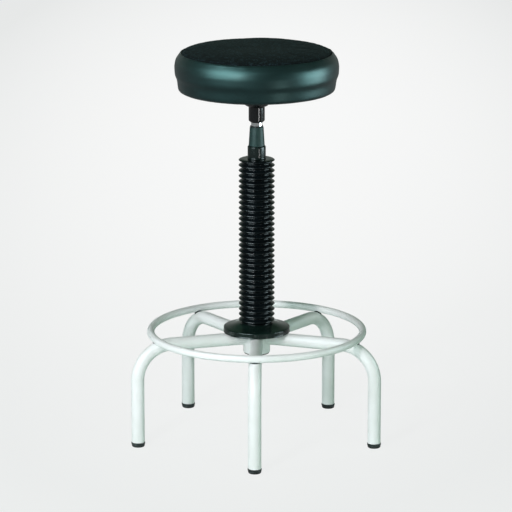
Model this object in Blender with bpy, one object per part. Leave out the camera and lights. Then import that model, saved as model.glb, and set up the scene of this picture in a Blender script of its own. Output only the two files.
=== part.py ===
"""Round upholstered work stool on five bent legs, with a screw-lift column under a ribbed bellows.

Sizes are in metres. The floor is at zero height and the column stands upright. Turning the seat
runs its spindle through the nut in the guide tube, and the bellows follows the collar.
"""

import math

import bmesh
import bpy

# Clearances and edges
SEAT_GAP = 0.0003  # between faces that rest on each other
RUNNING_GAP = 0.0003  # between a shaft and its bore
CHAMFER = 0.0012  # on turned steel and moulded barrels
FINE_CHAMFER = 0.0008  # on small rims

# Legs, feet and foot ring
LEG_NAMES = ("front", "right_front", "right_back", "left_back", "left_front")
FRONT_ANGLE = -math.pi / 2
FOOT_CIRCLE_RADIUS = 0.269
LEG_RADIUS = 0.014
LEG_WALL = 0.0015
LEG_BEND_RADIUS = 0.076  # along the tube's middle
ARM_HEIGHT = 0.224  # middle of the level stretch
FOOT_HEIGHT = 0.010
FOOT_OVERHANG = 0.001  # beyond the tube
FOOT_TREAD_INSET = 0.0025
FOOT_LIP = 0.0008
FOOT_LIP_SHARE = 0.6  # of the height, below the lip
FOOT_GROOVE = 0.0006
FOOT_PLUG_LENGTH = 0.016
FOOT_PLUG_TAPER = 0.002
RING_ARC_NAMES = ("front_right", "right", "back", "left", "front_left")  # each after its leg
RING_TUBE_RADIUS = 0.008
RING_SEAT_ANGLE = math.radians(67.5)  # where on the bends the ring lies, from level

# Guide tube, hub, plug and nut
GUIDE_RADIUS = 0.025
GUIDE_WALL = 0.003
HUB_WALL = 0.0037
HUB_DROP = 0.018  # below the legs
HUB_RISE = 0.009  # above the legs
HUB_CHAMFER = 0.001
PLUG_INSET = 0.0015  # inside the hub's edge
PLUG_THICKNESS = 0.0022
PLUG_DEPTH = 0.006
PLUG_WALL = 0.002
NUT_LENGTH = 0.036
NUT_FLANGE_LIP = 0.0025  # beyond the guide tube
NUT_FLANGE_THICKNESS = 0.0055

# Travel and bellows
TRAVEL = 0.180
STRETCH = 2.03  # ribbed length over travel
RIB_PITCH = 0.01181
RIB_DEPTH = 0.0059
BELLOWS_CLEARANCE = 0.002  # round the nut's flange
BELLOWS_WALL = 0.0025
CUFF_WALL = 0.0043
CUFF_HEIGHT = 0.0067  # foot of the bellows to its lowest rib
BELLOWS_TOP_RISE = 0.0027
BELLOWS_TOP_WALL = 0.0025

# Skirt
SKIRT_RADIUS = 0.072
SKIRT_RIM_HEIGHT = 0.0115
SKIRT_RIM_ROUND = 0.0015
SKIRT_RISE = 0.0085
SKIRT_DISH = 0.0012  # how far the cone sags between shoulder and rim
SKIRT_WALL = 0.0025
SKIRT_LEDGE = 0.0047  # beyond the bellows' cuff
SKIRT_SPIGOT_HEIGHT = 0.010

# Collar, sleeve and spindle
SPINDLE_RADIUS = 0.012
BUSH_WALL = 0.0024
COLLAR_WALL = 0.00375
COLLAR_HEIGHT = 0.030
COLLAR_SPIGOT_WALL = 0.002
COLLAR_SPIGOT_LENGTH = 0.0105
COLLAR_LIP = 0.0025
SLEEVE_BOTTOM_WALL = 0.0041
SLEEVE_TOP_WALL = 0.0014
SLEEVE_HEIGHT = 0.0419
SLEEVE_SPIGOT_LENGTH = 0.012
WIPER_OVERHANG = 0.0002  # beyond the sleeve's top
WIPER_HEIGHT = 0.0022
RETAINER_CLEARANCE = 0.0033  # inside the bellows
RETAINER_THICKNESS = 0.0035
CLIP_THICKNESS = 0.0025
CLIP_LIP = 0.0035  # beyond the spindle
CLIP_OPENING = 0.008
CLIP_GROOVE_DEPTH = 0.0012
STOP_CLEARANCE = 0.005
SPINDLE_SHOW = 0.0075  # bare spindle between wiper and seat hub
SPINDLE_TAIL = 0.003  # below the nut with the seat at its highest

# Seat hub, plate screws and centre screw
BARREL_WALL = 0.00435
BARREL_HEIGHT = 0.0342
BARREL_CHAMFER = 0.0037
BARREL_FILLET = 0.0015
BOSS_FLARE = 0.00935  # beyond the barrel
BOSS_RISE = 0.003
NECK_FLARE = 0.003  # beyond the boss
NECK_RISE = 0.0069
NECK_TAPER = 0.002
NECK_FILLET = 0.006
FLANGE_RISE = 0.0277  # barrel top to flange underside
FLANGE_RADIUS = 0.075
FLANGE_THICKNESS = 0.0045
FLANGE_CHAMFER = 0.001
WEB_THICKNESS = 0.005
WEB_INSET = 0.009  # inside the flange's edge
WEB_TIP_HEIGHT = 0.002
WEB_OVERLAP = 0.002  # into the boss
SCREW_COUNT = 4
SCREW_INSET = 0.015  # from the flange's edge to the screws' circle
SCREW_RADIUS = 0.003
SCREW_HEAD_LIP = 0.0028
SCREW_HEAD_HEIGHT = 0.0036
SCREW_HEAD_ROUND = 0.6  # share of the head that is flat across, and that is domed
SCREW_POINT = 0.002
SCREW_BITE = 0.010  # into the board
BOLT_RADIUS = 0.005
BOLT_HEAD_LIP = 0.003
BOLT_HEAD_HEIGHT = 0.0065
BOLT_HEAD_SINK = 0.002  # of its top below the flange
BOLT_HEAD_CLEARANCE = 0.001
BOLT_BITE = 0.024  # into the spindle
SOCKET_ROOF_THICKNESS = 0.0142
CUT_OVERRUN = 0.01  # of cutters beyond what they cut

# Seat
SEAT_RADIUS = 0.175
BOARD_MARGIN = 0.015  # from the seat's widest to the board's edge
BOARD_THICKNESS = 0.015
BOARD_EDGE = 0.002
SEAT_SIDE_HEIGHT = 0.0835  # board underside to seam
SEAM_INSET = 0.0145
CROWN = 0.012
CROWN_POWER = 2.4
COVER_THICKNESS = 0.0012
COVER_PROFILE = (  # inset from the seat's widest, and share of the side's height below the seam
    (0.0097, 0.018),
    (0.0060, 0.075),
    (0.0030, 0.195),
    (0.0008, 0.335),
    (0.0000, 0.450),
    (0.0010, 0.580),
    (0.0034, 0.685),
    (0.0054, 0.760),
    (0.0080, 0.915),
)
EDGE_PADDING = 0.0052  # of cover beyond the board's edge, at the bottom
EDGE_ROLL = 0.0024
EDGE_RISE = 0.0020
PANEL_THICKNESS = 0.0018
HEM_WIDTH = 0.028
CLOTH_MARGIN = 0.005  # round the seat hub's flange
CLOTH_LAP = 0.018
CLOTH_THICKNESS = 0.001

# Facets
LEG_SIDES = 14
LEG_BEND_STEPS = 8
FOOT_SIDES = 14
RING_SIDES = 8
RING_ARC_STEPS = 12
COLUMN_SIDES = 24
FLANGE_SIDES = 30
HUB_SIDES = 36
SKIRT_SIDES = 36
BELLOWS_SIDES = 28
SEAT_SIDES = 32
SCREW_SIDES = 10
CROWN_RINGS = 4

# Heights from the floor up
arm_top = ARM_HEIGHT + LEG_RADIUS
hub_bottom = ARM_HEIGHT - LEG_RADIUS - HUB_DROP
hub_top = arm_top + HUB_RISE
skirt_bottom = arm_top + SEAT_GAP
skirt_rim_top = skirt_bottom + SKIRT_RIM_HEIGHT
skirt_shoulder = skirt_rim_top + SKIRT_RISE
bellows_bottom = skirt_shoulder + SEAT_GAP
lowest_rib = bellows_bottom + CUFF_HEIGHT
rib_count = round(TRAVEL * STRETCH / RIB_PITCH)
highest_rib = lowest_rib + (rib_count - 1) * RIB_PITCH
bellows_top = highest_rib + BELLOWS_TOP_RISE
collar_face = bellows_top + SEAT_GAP
collar_top = collar_face + COLLAR_HEIGHT
collar_spigot_bottom = collar_face - COLLAR_SPIGOT_LENGTH
sleeve_bottom = collar_top + SEAT_GAP
sleeve_top = sleeve_bottom + SLEEVE_HEIGHT
wiper_bottom = sleeve_top + SEAT_GAP
wiper_top = wiper_bottom + WIPER_HEIGHT
clip_top = collar_spigot_bottom - SEAT_GAP
clip_bottom = clip_top - CLIP_THICKNESS
nut_top = clip_bottom - TRAVEL - STOP_CLEARANCE
nut_bottom = nut_top - NUT_LENGTH
guide_top = nut_top - NUT_FLANGE_THICKNESS - SEAT_GAP
spindle_bottom = nut_bottom - SPINDLE_TAIL
barrel_bottom = wiper_top + SPINDLE_SHOW
barrel_top = barrel_bottom + BARREL_HEIGHT
flange_bottom = barrel_top + FLANGE_RISE
flange_top = flange_bottom + FLANGE_THICKNESS
bolt_seat = flange_top - BOLT_HEAD_HEIGHT - BOLT_HEAD_SINK
socket_roof = bolt_seat - SOCKET_ROOF_THICKNESS
bolt_tip = socket_roof - BOLT_BITE
board_bottom = flange_top + SEAT_GAP
board_top = board_bottom + BOARD_THICKNESS
seam_height = board_bottom + SEAT_SIDE_HEIGHT
cover_bottom = board_bottom - SEAT_GAP - COVER_THICKNESS

# Radii from the column's middle out
spindle_bore = SPINDLE_RADIUS + RUNNING_GAP
bush_radius = spindle_bore + BUSH_WALL
collar_bore = bush_radius + SEAT_GAP
collar_radius = collar_bore + COLLAR_WALL
collar_spigot_radius = collar_bore + COLLAR_SPIGOT_WALL
sleeve_bottom_radius = spindle_bore + SLEEVE_BOTTOM_WALL
sleeve_top_radius = spindle_bore + SLEEVE_TOP_WALL
clip_radius = SPINDLE_RADIUS + CLIP_LIP
guide_bore = GUIDE_RADIUS - GUIDE_WALL
hub_bore = GUIDE_RADIUS + SEAT_GAP
hub_radius = hub_bore + HUB_WALL
plug_radius = hub_radius - PLUG_INSET
nut_flange_radius = GUIDE_RADIUS + NUT_FLANGE_LIP
bellows_bore = nut_flange_radius + BELLOWS_CLEARANCE
valley_radius = bellows_bore + BELLOWS_WALL
rib_radius = valley_radius + RIB_DEPTH
cuff_radius = bellows_bore + CUFF_WALL
skirt_shoulder_radius = cuff_radius + SKIRT_LEDGE
retainer_radius = bellows_bore - RETAINER_CLEARANCE
barrel_radius = spindle_bore + BARREL_WALL
boss_radius = barrel_radius + BOSS_FLARE
neck_radius = boss_radius + NECK_FLARE
screw_head_radius = SCREW_RADIUS + SCREW_HEAD_LIP
bolt_head_radius = BOLT_RADIUS + BOLT_HEAD_LIP

# Radii and heights in the frame and the seat
leg_bore = LEG_RADIUS - LEG_WALL
foot_radius = LEG_RADIUS + FOOT_OVERHANG
bend_centre_radius = FOOT_CIRCLE_RADIUS - LEG_BEND_RADIUS
bend_centre_height = ARM_HEIGHT - LEG_BEND_RADIUS
ring_reach = LEG_BEND_RADIUS + LEG_RADIUS + SEAT_GAP + RING_TUBE_RADIUS
ring_radius = bend_centre_radius + ring_reach * math.cos(RING_SEAT_ANGLE)
ring_height = bend_centre_height + ring_reach * math.sin(RING_SEAT_ANGLE)
web_reach = FLANGE_RADIUS - WEB_INSET
screw_circle_radius = FLANGE_RADIUS - SCREW_INSET
board_radius = SEAT_RADIUS - BOARD_MARGIN
seam_radius = SEAT_RADIUS - SEAM_INSET
hem_radius = board_radius - HEM_WIDTH

# The origin is under the middle of the part's box, so the column stands behind it by half of
# what the front foot reaches beyond the back of the ring.
front_reach = FOOT_CIRCLE_RADIUS + foot_radius
back_reach = max(
    ring_radius + RING_TUBE_RADIUS,
    FOOT_CIRCLE_RADIUS * math.cos(math.pi / len(LEG_NAMES)) + foot_radius,
    SEAT_RADIUS,
)
column_y = (front_reach - back_reach) / 2


def clear_scene():
    for old in list(bpy.data.objects):
        bpy.data.objects.remove(old, do_unlink=True)


def material(name, colour, roughness, metallic=0.0):
    made = bpy.data.materials.new(name)
    made.use_nodes = True
    shader = made.node_tree.nodes["Principled BSDF"]
    shader.inputs["Base Color"].default_value = (*colour, 1.0)
    shader.inputs["Roughness"].default_value = roughness
    shader.inputs["Metallic"].default_value = metallic
    made.diffuse_color = (*colour, 1.0)
    return made


def empty(name, parent=None, location=(0, 0, 0)):
    made = bpy.data.objects.new(name, None)
    bpy.context.scene.collection.objects.link(made)
    made.location = location
    made.parent = parent
    return made


def mesh_from(bm, name):
    """Cleans a bmesh, turns its faces outwards and shades its round faces smooth."""
    bmesh.ops.remove_doubles(bm, verts=bm.verts, dist=1e-7)
    bmesh.ops.recalc_face_normals(bm, faces=bm.faces)
    mesh = bpy.data.meshes.new(name)
    bm.to_mesh(mesh)
    bm.free()
    mesh.shade_smooth()
    mesh.set_sharp_from_angle(angle=math.radians(35))
    return mesh


def place(name, mesh, finish, parent, location=(0, 0, 0), turn=0.0):
    made = bpy.data.objects.new(name, mesh)
    bpy.context.scene.collection.objects.link(made)
    if not mesh.materials:
        mesh.materials.append(finish)
    made.parent = parent
    made.location = location
    made.rotation_euler.z = turn
    return made


def cutter(name, mesh, parent, location=(0, 0, 0), turn=0.0):
    made = bpy.data.objects.new(name, mesh)
    bpy.context.scene.collection.objects.link(made)
    made.parent = parent
    made.location = location
    made.rotation_euler.z = turn
    made.hide_render = True
    made.display_type = "WIRE"
    return made


def combine(target, other, operation):
    joined = target.modifiers.new(f"{operation.lower()} {other.name}", "BOOLEAN")
    joined.object = other
    joined.operation = operation
    joined.solver = "EXACT"


def turned(name, section, sides):
    """A mesh spun about the upright axis. A section that starts and ends on the axis stays open."""
    bm = bmesh.new()
    points = [bm.verts.new((radius, 0, height)) for radius, height in section]
    edges = [bm.edges.new(pair) for pair in zip(points, points[1:])]
    if section[0][0] > 0:
        edges.append(bm.edges.new((points[-1], points[0])))
    bmesh.ops.spin(
        bm,
        geom=points + edges,
        cent=(0, 0, 0),
        axis=(0, 0, 1),
        angle=math.tau,
        steps=sides,
        use_merge=True,
    )
    bmesh.ops.remove_doubles(bm, verts=bm.verts, dist=1e-6)
    return mesh_from(bm, name)


def cylinder(name, radius, bottom, top, sides):
    return turned(name, [(0, bottom), (radius, bottom), (radius, top), (0, top)], sides)


def ring(name, inner, outer, bottom, top, sides, chamfer=0.0):
    section = [
        (inner, bottom),
        (outer - chamfer, bottom),
        (outer, bottom + chamfer),
        (outer, top - chamfer),
        (outer - chamfer, top),
        (inner, top),
    ]
    if not chamfer:
        section = [(inner, bottom), (outer, bottom), (outer, top), (inner, top)]
    return turned(name, section, sides)


def prism(name, outline, thickness):
    """An upright outline of radius and height, given a thickness across its radius."""
    bm = bmesh.new()
    face = bm.faces.new([bm.verts.new((r, -thickness / 2, z)) for r, z in outline])
    grown = bmesh.ops.extrude_face_region(bm, geom=[face], use_keep_orig=True)
    moved = [item for item in grown["geom"] if isinstance(item, bmesh.types.BMVert)]
    bmesh.ops.translate(bm, verts=moved, vec=(0, thickness, 0))
    return mesh_from(bm, name)


def leg_path():
    """The tube's middle as (radius, height, direction), from inside the hub to the foot."""
    stations = [(hub_radius / 2, ARM_HEIGHT, 0.0)]
    for step in range(LEG_BEND_STEPS + 1):
        angle = math.pi / 2 * step / LEG_BEND_STEPS
        radius = bend_centre_radius + LEG_BEND_RADIUS * math.sin(angle)
        height = bend_centre_height + LEG_BEND_RADIUS * math.cos(angle)
        stations.append((radius, height, angle))
    stations.append((FOOT_CIRCLE_RADIUS, FOOT_HEIGHT + SEAT_GAP, math.pi / 2))
    return stations


def leg_mesh():
    """A hollow tube along the leg's path, open at both ends."""
    bm = bmesh.new()
    rings = []
    for radius, height, direction in leg_path():
        loops = []
        for size in (LEG_RADIUS, leg_bore):
            loop = []
            for side in range(LEG_SIDES):
                angle = math.tau * side / LEG_SIDES
                out = size * math.cos(angle)
                across = size * math.sin(angle)
                point = (radius + out * math.sin(direction), across, height + out * math.cos(direction))
                loop.append(bm.verts.new(point))
            loops.append(loop)
        rings.append(loops)
    for side in range(LEG_SIDES):
        after = (side + 1) % LEG_SIDES
        for wall in (0, 1):
            for first, second in zip(rings, rings[1:]):
                near, far = first[wall], second[wall]
                bm.faces.new((near[side], near[after], far[after], far[side]))
        for outer, inner in (rings[0], rings[-1]):
            bm.faces.new((outer[side], outer[after], inner[after], inner[side]))
    return mesh_from(bm, "leg")


def foot_mesh():
    """A plastic foot: rounded tread, a shallow groove, a lip under the tube and a plug up its bore."""
    plug = leg_bore - SEAT_GAP
    plug_top = FOOT_HEIGHT + FOOT_PLUG_LENGTH
    lip_bottom = FOOT_HEIGHT * FOOT_LIP_SHARE
    waist = foot_radius - FOOT_LIP
    section = [
        (0, 0),
        (foot_radius - FOOT_TREAD_INSET, 0),
        (waist - FOOT_LIP / 2, FOOT_TREAD_INSET - FOOT_LIP),
        (waist, lip_bottom - FOOT_GROOVE - FOOT_LIP / 2),
        (waist - FOOT_GROOVE, lip_bottom - FOOT_LIP / 2),
        (foot_radius, lip_bottom),
        (foot_radius, FOOT_HEIGHT),
        (plug, FOOT_HEIGHT),
        (plug, plug_top - FOOT_PLUG_TAPER),
        (plug - FOOT_PLUG_TAPER, plug_top),
        (0, plug_top),
    ]
    return turned("foot", section, FOOT_SIDES)


def ring_arc_mesh():
    """A fifth of the foot ring, from on top of one leg's bend to on top of the next leg's."""
    bm = bmesh.new()
    end_turn = SEAT_GAP / 2 / ring_radius
    sweep = math.tau / len(LEG_NAMES) - 2 * end_turn
    loops = []
    for step in range(RING_ARC_STEPS + 1):
        turn = end_turn + sweep * step / RING_ARC_STEPS
        loop = []
        for side in range(RING_SIDES):
            # A flat of the section faces the bends, at the seat angle.
            angle = RING_SEAT_ANGLE + math.tau * (side + 0.5) / RING_SIDES
            reach = ring_radius + RING_TUBE_RADIUS * math.cos(angle)
            height = ring_height + RING_TUBE_RADIUS * math.sin(angle)
            loop.append(bm.verts.new((reach * math.cos(turn), reach * math.sin(turn), height)))
        loops.append(loop)
    for near, far in zip(loops, loops[1:]):
        for side in range(RING_SIDES):
            after = (side + 1) % RING_SIDES
            bm.faces.new((near[side], near[after], far[after], far[side]))
    bm.faces.new(loops[0])
    bm.faces.new(loops[-1])
    return mesh_from(bm, "ring_arc")


def skirt_section():
    """A shallow cone over the legs' roots, with an upright rim and a spigot for the bellows."""
    spigot = bellows_bore - SEAT_GAP
    rim_inner = SKIRT_RADIUS - SKIRT_WALL
    middle = (skirt_shoulder_radius + SKIRT_RADIUS) / 2
    middle_height = (skirt_rim_top + skirt_shoulder) / 2 - SKIRT_DISH
    return [
        (hub_bore, skirt_shoulder + SKIRT_SPIGOT_HEIGHT),
        (spigot, skirt_shoulder + SKIRT_SPIGOT_HEIGHT),
        (spigot, skirt_shoulder),
        (skirt_shoulder_radius, skirt_shoulder),
        (middle, middle_height),
        (SKIRT_RADIUS - SKIRT_RIM_ROUND, skirt_rim_top),
        (SKIRT_RADIUS, skirt_rim_top - SKIRT_RIM_ROUND),
        (SKIRT_RADIUS, skirt_bottom),
        (rim_inner, skirt_bottom),
        (rim_inner, skirt_rim_top - SKIRT_WALL),
        (middle, middle_height - SKIRT_WALL),
        (skirt_shoulder_radius, skirt_shoulder - SKIRT_WALL),
        (hub_bore, skirt_shoulder - SKIRT_WALL),
    ]


def bellows_section():
    """One peak and one valley for each rib, a plain bore, a cuff below and a flat closed-in top."""
    hole = collar_spigot_radius + SEAT_GAP
    section = [(hole, bellows_top), (rib_radius - BELLOWS_TOP_RISE, bellows_top)]
    for rib in reversed(range(rib_count)):
        peak = lowest_rib + rib * RIB_PITCH
        section.append((rib_radius, peak))
        if rib:
            section.append((valley_radius, peak - RIB_PITCH / 2))
    section += [
        (cuff_radius, lowest_rib - (rib_radius - cuff_radius)),
        (cuff_radius, bellows_bottom),
        (bellows_bore, bellows_bottom),
        (bellows_bore, bellows_top - BELLOWS_TOP_WALL),
        (hole, bellows_top - BELLOWS_TOP_WALL),
    ]
    return section


def collar_section():
    """The barrel above the bellows, with a spigot through its top and a lip that holds the bush."""
    lip_inner = spindle_bore + BUSH_WALL / 2
    return [
        (lip_inner, collar_spigot_bottom),
        (collar_spigot_radius, collar_spigot_bottom),
        (collar_spigot_radius, collar_face),
        (collar_radius, collar_face),
        (collar_radius, collar_top - CHAMFER),
        (collar_radius - CHAMFER, collar_top),
        (collar_bore, collar_top),
        (collar_bore, collar_spigot_bottom + COLLAR_LIP),
        (lip_inner, collar_spigot_bottom + COLLAR_LIP),
    ]


def sleeve_section():
    """A tapered sleeve on the spindle, with a spigot down into the collar."""
    spigot = collar_bore - SEAT_GAP
    return [
        (spindle_bore, sleeve_bottom - SLEEVE_SPIGOT_LENGTH),
        (spigot, sleeve_bottom - SLEEVE_SPIGOT_LENGTH),
        (spigot, sleeve_bottom),
        (sleeve_bottom_radius, sleeve_bottom),
        (sleeve_top_radius, sleeve_top - FINE_CHAMFER),
        (sleeve_top_radius - FINE_CHAMFER, sleeve_top),
        (spindle_bore, sleeve_top),
    ]


def wiper_section():
    """A thin rubber ring with rounded edges, on top of the sleeve."""
    outer = sleeve_top_radius + WIPER_OVERHANG
    round_over = WIPER_HEIGHT / 3
    return [
        (spindle_bore, wiper_bottom),
        (outer - round_over, wiper_bottom),
        (outer, wiper_bottom + round_over),
        (outer, wiper_top - round_over),
        (outer - round_over, wiper_top),
        (spindle_bore, wiper_top),
    ]


def nut_section():
    """The lift nut, down inside the guide tube and flanged over its end."""
    body = guide_bore - SEAT_GAP
    flange_base = guide_top + SEAT_GAP
    return [
        (spindle_bore, nut_bottom),
        (body - CHAMFER, nut_bottom),
        (body, nut_bottom + CHAMFER),
        (body, flange_base),
        (nut_flange_radius, flange_base),
        (nut_flange_radius, nut_top - CHAMFER),
        (nut_flange_radius - CHAMFER, nut_top),
        (spindle_bore, nut_top),
    ]


def plug_section():
    """A push-in cap under the hub, with a hollow spigot up the guide tube."""
    spigot = guide_bore - SEAT_GAP
    spigot_bore = spigot - PLUG_WALL
    face = hub_bottom - SEAT_GAP
    return [
        (0, face - PLUG_THICKNESS),
        (plug_radius - FINE_CHAMFER, face - PLUG_THICKNESS),
        (plug_radius, face - PLUG_THICKNESS + FINE_CHAMFER),
        (plug_radius, face),
        (spigot, face),
        (spigot, face + PLUG_DEPTH),
        (spigot_bore, face + PLUG_DEPTH),
        (spigot_bore, face),
        (0, face),
    ]


def spindle_section():
    """The lift spindle, with a groove for its clip and a threaded socket for the centre screw."""
    groove = SPINDLE_RADIUS - CLIP_GROOVE_DEPTH
    top = socket_roof - SEAT_GAP
    socket = BOLT_RADIUS + SEAT_GAP
    return [
        (0, spindle_bottom),
        (SPINDLE_RADIUS - CHAMFER, spindle_bottom),
        (SPINDLE_RADIUS, spindle_bottom + CHAMFER),
        (SPINDLE_RADIUS, clip_bottom - SEAT_GAP),
        (groove, clip_bottom - SEAT_GAP),
        (groove, clip_top + SEAT_GAP),
        (SPINDLE_RADIUS, clip_top + SEAT_GAP),
        (SPINDLE_RADIUS, top - CHAMFER),
        (SPINDLE_RADIUS - CHAMFER, top),
        (socket, top),
        (socket, bolt_tip - SEAT_GAP),
        (0, bolt_tip - SEAT_GAP),
    ]


def bolt_section():
    """The centre screw, down through the seat hub into the spindle."""
    head_bottom = bolt_seat + SEAT_GAP
    head_top = head_bottom + BOLT_HEAD_HEIGHT
    return [
        (0, bolt_tip),
        (BOLT_RADIUS - FINE_CHAMFER, bolt_tip),
        (BOLT_RADIUS, bolt_tip + FINE_CHAMFER),
        (BOLT_RADIUS, head_bottom),
        (bolt_head_radius, head_bottom),
        (bolt_head_radius, head_top - FINE_CHAMFER),
        (bolt_head_radius - FINE_CHAMFER, head_top),
        (0, head_top),
    ]


def seat_hub_section():
    """A cast hub: socketed barrel, flared boss, and the round flange that the board sits on."""
    shank_hole = BOLT_RADIUS + SEAT_GAP
    head_hole = bolt_head_radius + BOLT_HEAD_CLEARANCE
    return [
        (spindle_bore, barrel_bottom),
        (barrel_radius - BARREL_CHAMFER, barrel_bottom),
        (barrel_radius, barrel_bottom + BARREL_CHAMFER),
        (barrel_radius, barrel_top - BARREL_FILLET),
        (barrel_radius + BARREL_FILLET, barrel_top),
        (boss_radius, barrel_top + BOSS_RISE),
        (neck_radius, barrel_top + NECK_RISE),
        (neck_radius + NECK_TAPER, flange_bottom - NECK_FILLET),
        (neck_radius + NECK_TAPER + NECK_FILLET, flange_bottom),
        (FLANGE_RADIUS - FLANGE_CHAMFER, flange_bottom),
        (FLANGE_RADIUS, flange_bottom + FLANGE_CHAMFER),
        (FLANGE_RADIUS, flange_top),
        (head_hole, flange_top),
        (head_hole, bolt_seat),
        (shank_hole, bolt_seat),
        (shank_hole, socket_roof),
        (spindle_bore, socket_roof),
    ]


def web_outline():
    """A web from the boss out under the flange. Its top runs a little way into the flange."""
    top = flange_bottom + FLANGE_THICKNESS / 2
    root = boss_radius - WEB_OVERLAP
    return [
        (root, barrel_top + NECK_RISE),
        (web_reach, flange_bottom - WEB_TIP_HEIGHT),
        (web_reach, top),
        (root, top),
    ]


def screw_section():
    """A pan-headed screw, up through the flange into the board."""
    head_top = flange_bottom - SEAT_GAP
    head_bottom = head_top - SCREW_HEAD_HEIGHT
    tip = board_bottom + SCREW_BITE
    return [
        (0, head_bottom),
        (screw_head_radius * SCREW_HEAD_ROUND, head_bottom),
        (screw_head_radius, head_bottom + SCREW_HEAD_HEIGHT * SCREW_HEAD_ROUND),
        (screw_head_radius, head_top),
        (SCREW_RADIUS, head_top),
        (SCREW_RADIUS, tip - SCREW_POINT),
        (0, tip),
    ]


def cover_outline(depth=0.0):
    """The seat's side from seam to hem, moved in by a depth: bulged above, drawn in at the board."""
    points = [(seam_radius, seam_height)]
    for inset, share in COVER_PROFILE:
        points.append((SEAT_RADIUS - inset, seam_height - SEAT_SIDE_HEIGHT * share))
    points += [
        (board_radius + EDGE_PADDING, board_bottom + EDGE_RISE),
        (board_radius + EDGE_ROLL, cover_bottom + (EDGE_RISE - COVER_THICKNESS) / 2),
        (board_radius - COVER_THICKNESS, cover_bottom),
        (hem_radius, cover_bottom),
    ]
    moved = [(seam_radius, seam_height - depth)]
    for index, point in enumerate(points[1:], 1):
        before = points[index - 1]
        after = points[min(index + 1, len(points) - 1)]
        run = after[0] - before[0]
        rise = after[1] - before[1]
        length = math.hypot(run, rise)
        moved.append((point[0] + depth * rise / length, point[1] - depth * run / length))
    return moved


def cover_section():
    """The side cover's skin, from the seam round the side and under the board."""
    inner = cover_outline(COVER_THICKNESS)
    return cover_outline() + inner[::-1]


def crown_height(radius, edge_radius, edge_height):
    """A crown that is flat in the middle and falls more and more towards the seam."""
    return edge_height + CROWN * (1 - (radius / edge_radius) ** CROWN_POWER)


def crown_points(edge_radius, edge_height):
    points = []
    for step in range(CROWN_RINGS + 1):
        radius = edge_radius * math.sin(math.pi / 2 * step / CROWN_RINGS)
        points.append((radius, crown_height(radius, edge_radius, edge_height)))
    return points


def panel_section():
    """The top panel, a crowned disc inside the seam."""
    edge = seam_radius - SEAT_GAP
    above = crown_points(edge, seam_height)
    below = [(radius, height - PANEL_THICKNESS) for radius, height in above]
    return below + above[::-1]


def foam_section():
    """The foam block: crowned over the board and lapped down round its edge."""
    side = cover_outline(COVER_THICKNESS + SEAT_GAP)
    side = [point for point in side[2:] if point[1] > board_bottom]
    lap_bottom = side[-1][1]
    shelf = seam_height - PANEL_THICKNESS - SEAT_GAP
    top = crown_points(seam_radius, shelf)
    inner = board_radius + SEAT_GAP
    base = board_top + SEAT_GAP
    return top + side + [(inner, lap_bottom), (inner, base), (0, base)]


def board_section():
    """The round board, its edges eased."""
    return [
        (0, board_bottom),
        (board_radius - BOARD_EDGE / 2, board_bottom),
        (board_radius, board_bottom + BOARD_EDGE / 2),
        (board_radius, board_top - BOARD_EDGE),
        (board_radius - BOARD_EDGE, board_top),
        (0, board_top),
    ]


def cloth_mesh():
    """The dust cloth under the hem, open round the seat hub's flange."""
    hole = FLANGE_RADIUS + CLOTH_MARGIN
    top = cover_bottom - SEAT_GAP
    return ring("base_cloth", hole, hem_radius + CLOTH_LAP, top - CLOTH_THICKNESS, top, SEAT_SIDES)


def build_base(column, finishes):
    """Legs, feet and foot ring, and the fixed parts of the column."""
    white = finishes["white enamel"]
    hub_cut = cylinder("hub_cut", hub_radius + SEAT_GAP, hub_bottom, hub_top, HUB_SIDES)
    hub_cutter = cutter("hub_cutter", hub_cut, column)
    leg = leg_mesh()
    foot = foot_mesh()
    ring_arc = ring_arc_mesh()
    for index, (name, arc_name) in enumerate(zip(LEG_NAMES, RING_ARC_NAMES)):
        turn = FRONT_ANGLE + math.tau * index / len(LEG_NAMES)
        placed = place(f"leg_{name}", leg, white, column, turn=turn)
        combine(placed, hub_cutter, "DIFFERENCE")
        spot = (FOOT_CIRCLE_RADIUS * math.cos(turn), FOOT_CIRCLE_RADIUS * math.sin(turn), 0)
        place(f"foot_{name}", foot, finishes["foot plastic"], column, spot, turn)
        place(f"foot_ring_{arc_name}", ring_arc, white, column, turn=turn)
    hub = ring("hub", hub_bore, hub_radius, hub_bottom, hub_top, HUB_SIDES, HUB_CHAMFER)
    place("hub", hub, white, column)
    guide = ring("guide_tube", guide_bore, GUIDE_RADIUS, hub_bottom, guide_top, COLUMN_SIDES)
    place("guide_tube", guide, finishes["bare steel"], column)
    place("hub_plug", turned("hub_plug", plug_section(), COLUMN_SIDES), finishes["foot plastic"], column)
    place("lift_nut", turned("lift_nut", nut_section(), COLUMN_SIDES), finishes["bronze"], column)
    place("skirt", turned("skirt", skirt_section(), SKIRT_SIDES), finishes["skirt plastic"], column)
    bellows = turned("bellows", bellows_section(), BELLOWS_SIDES)
    place("bellows", bellows, finishes["bellows rubber"], column)


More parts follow.
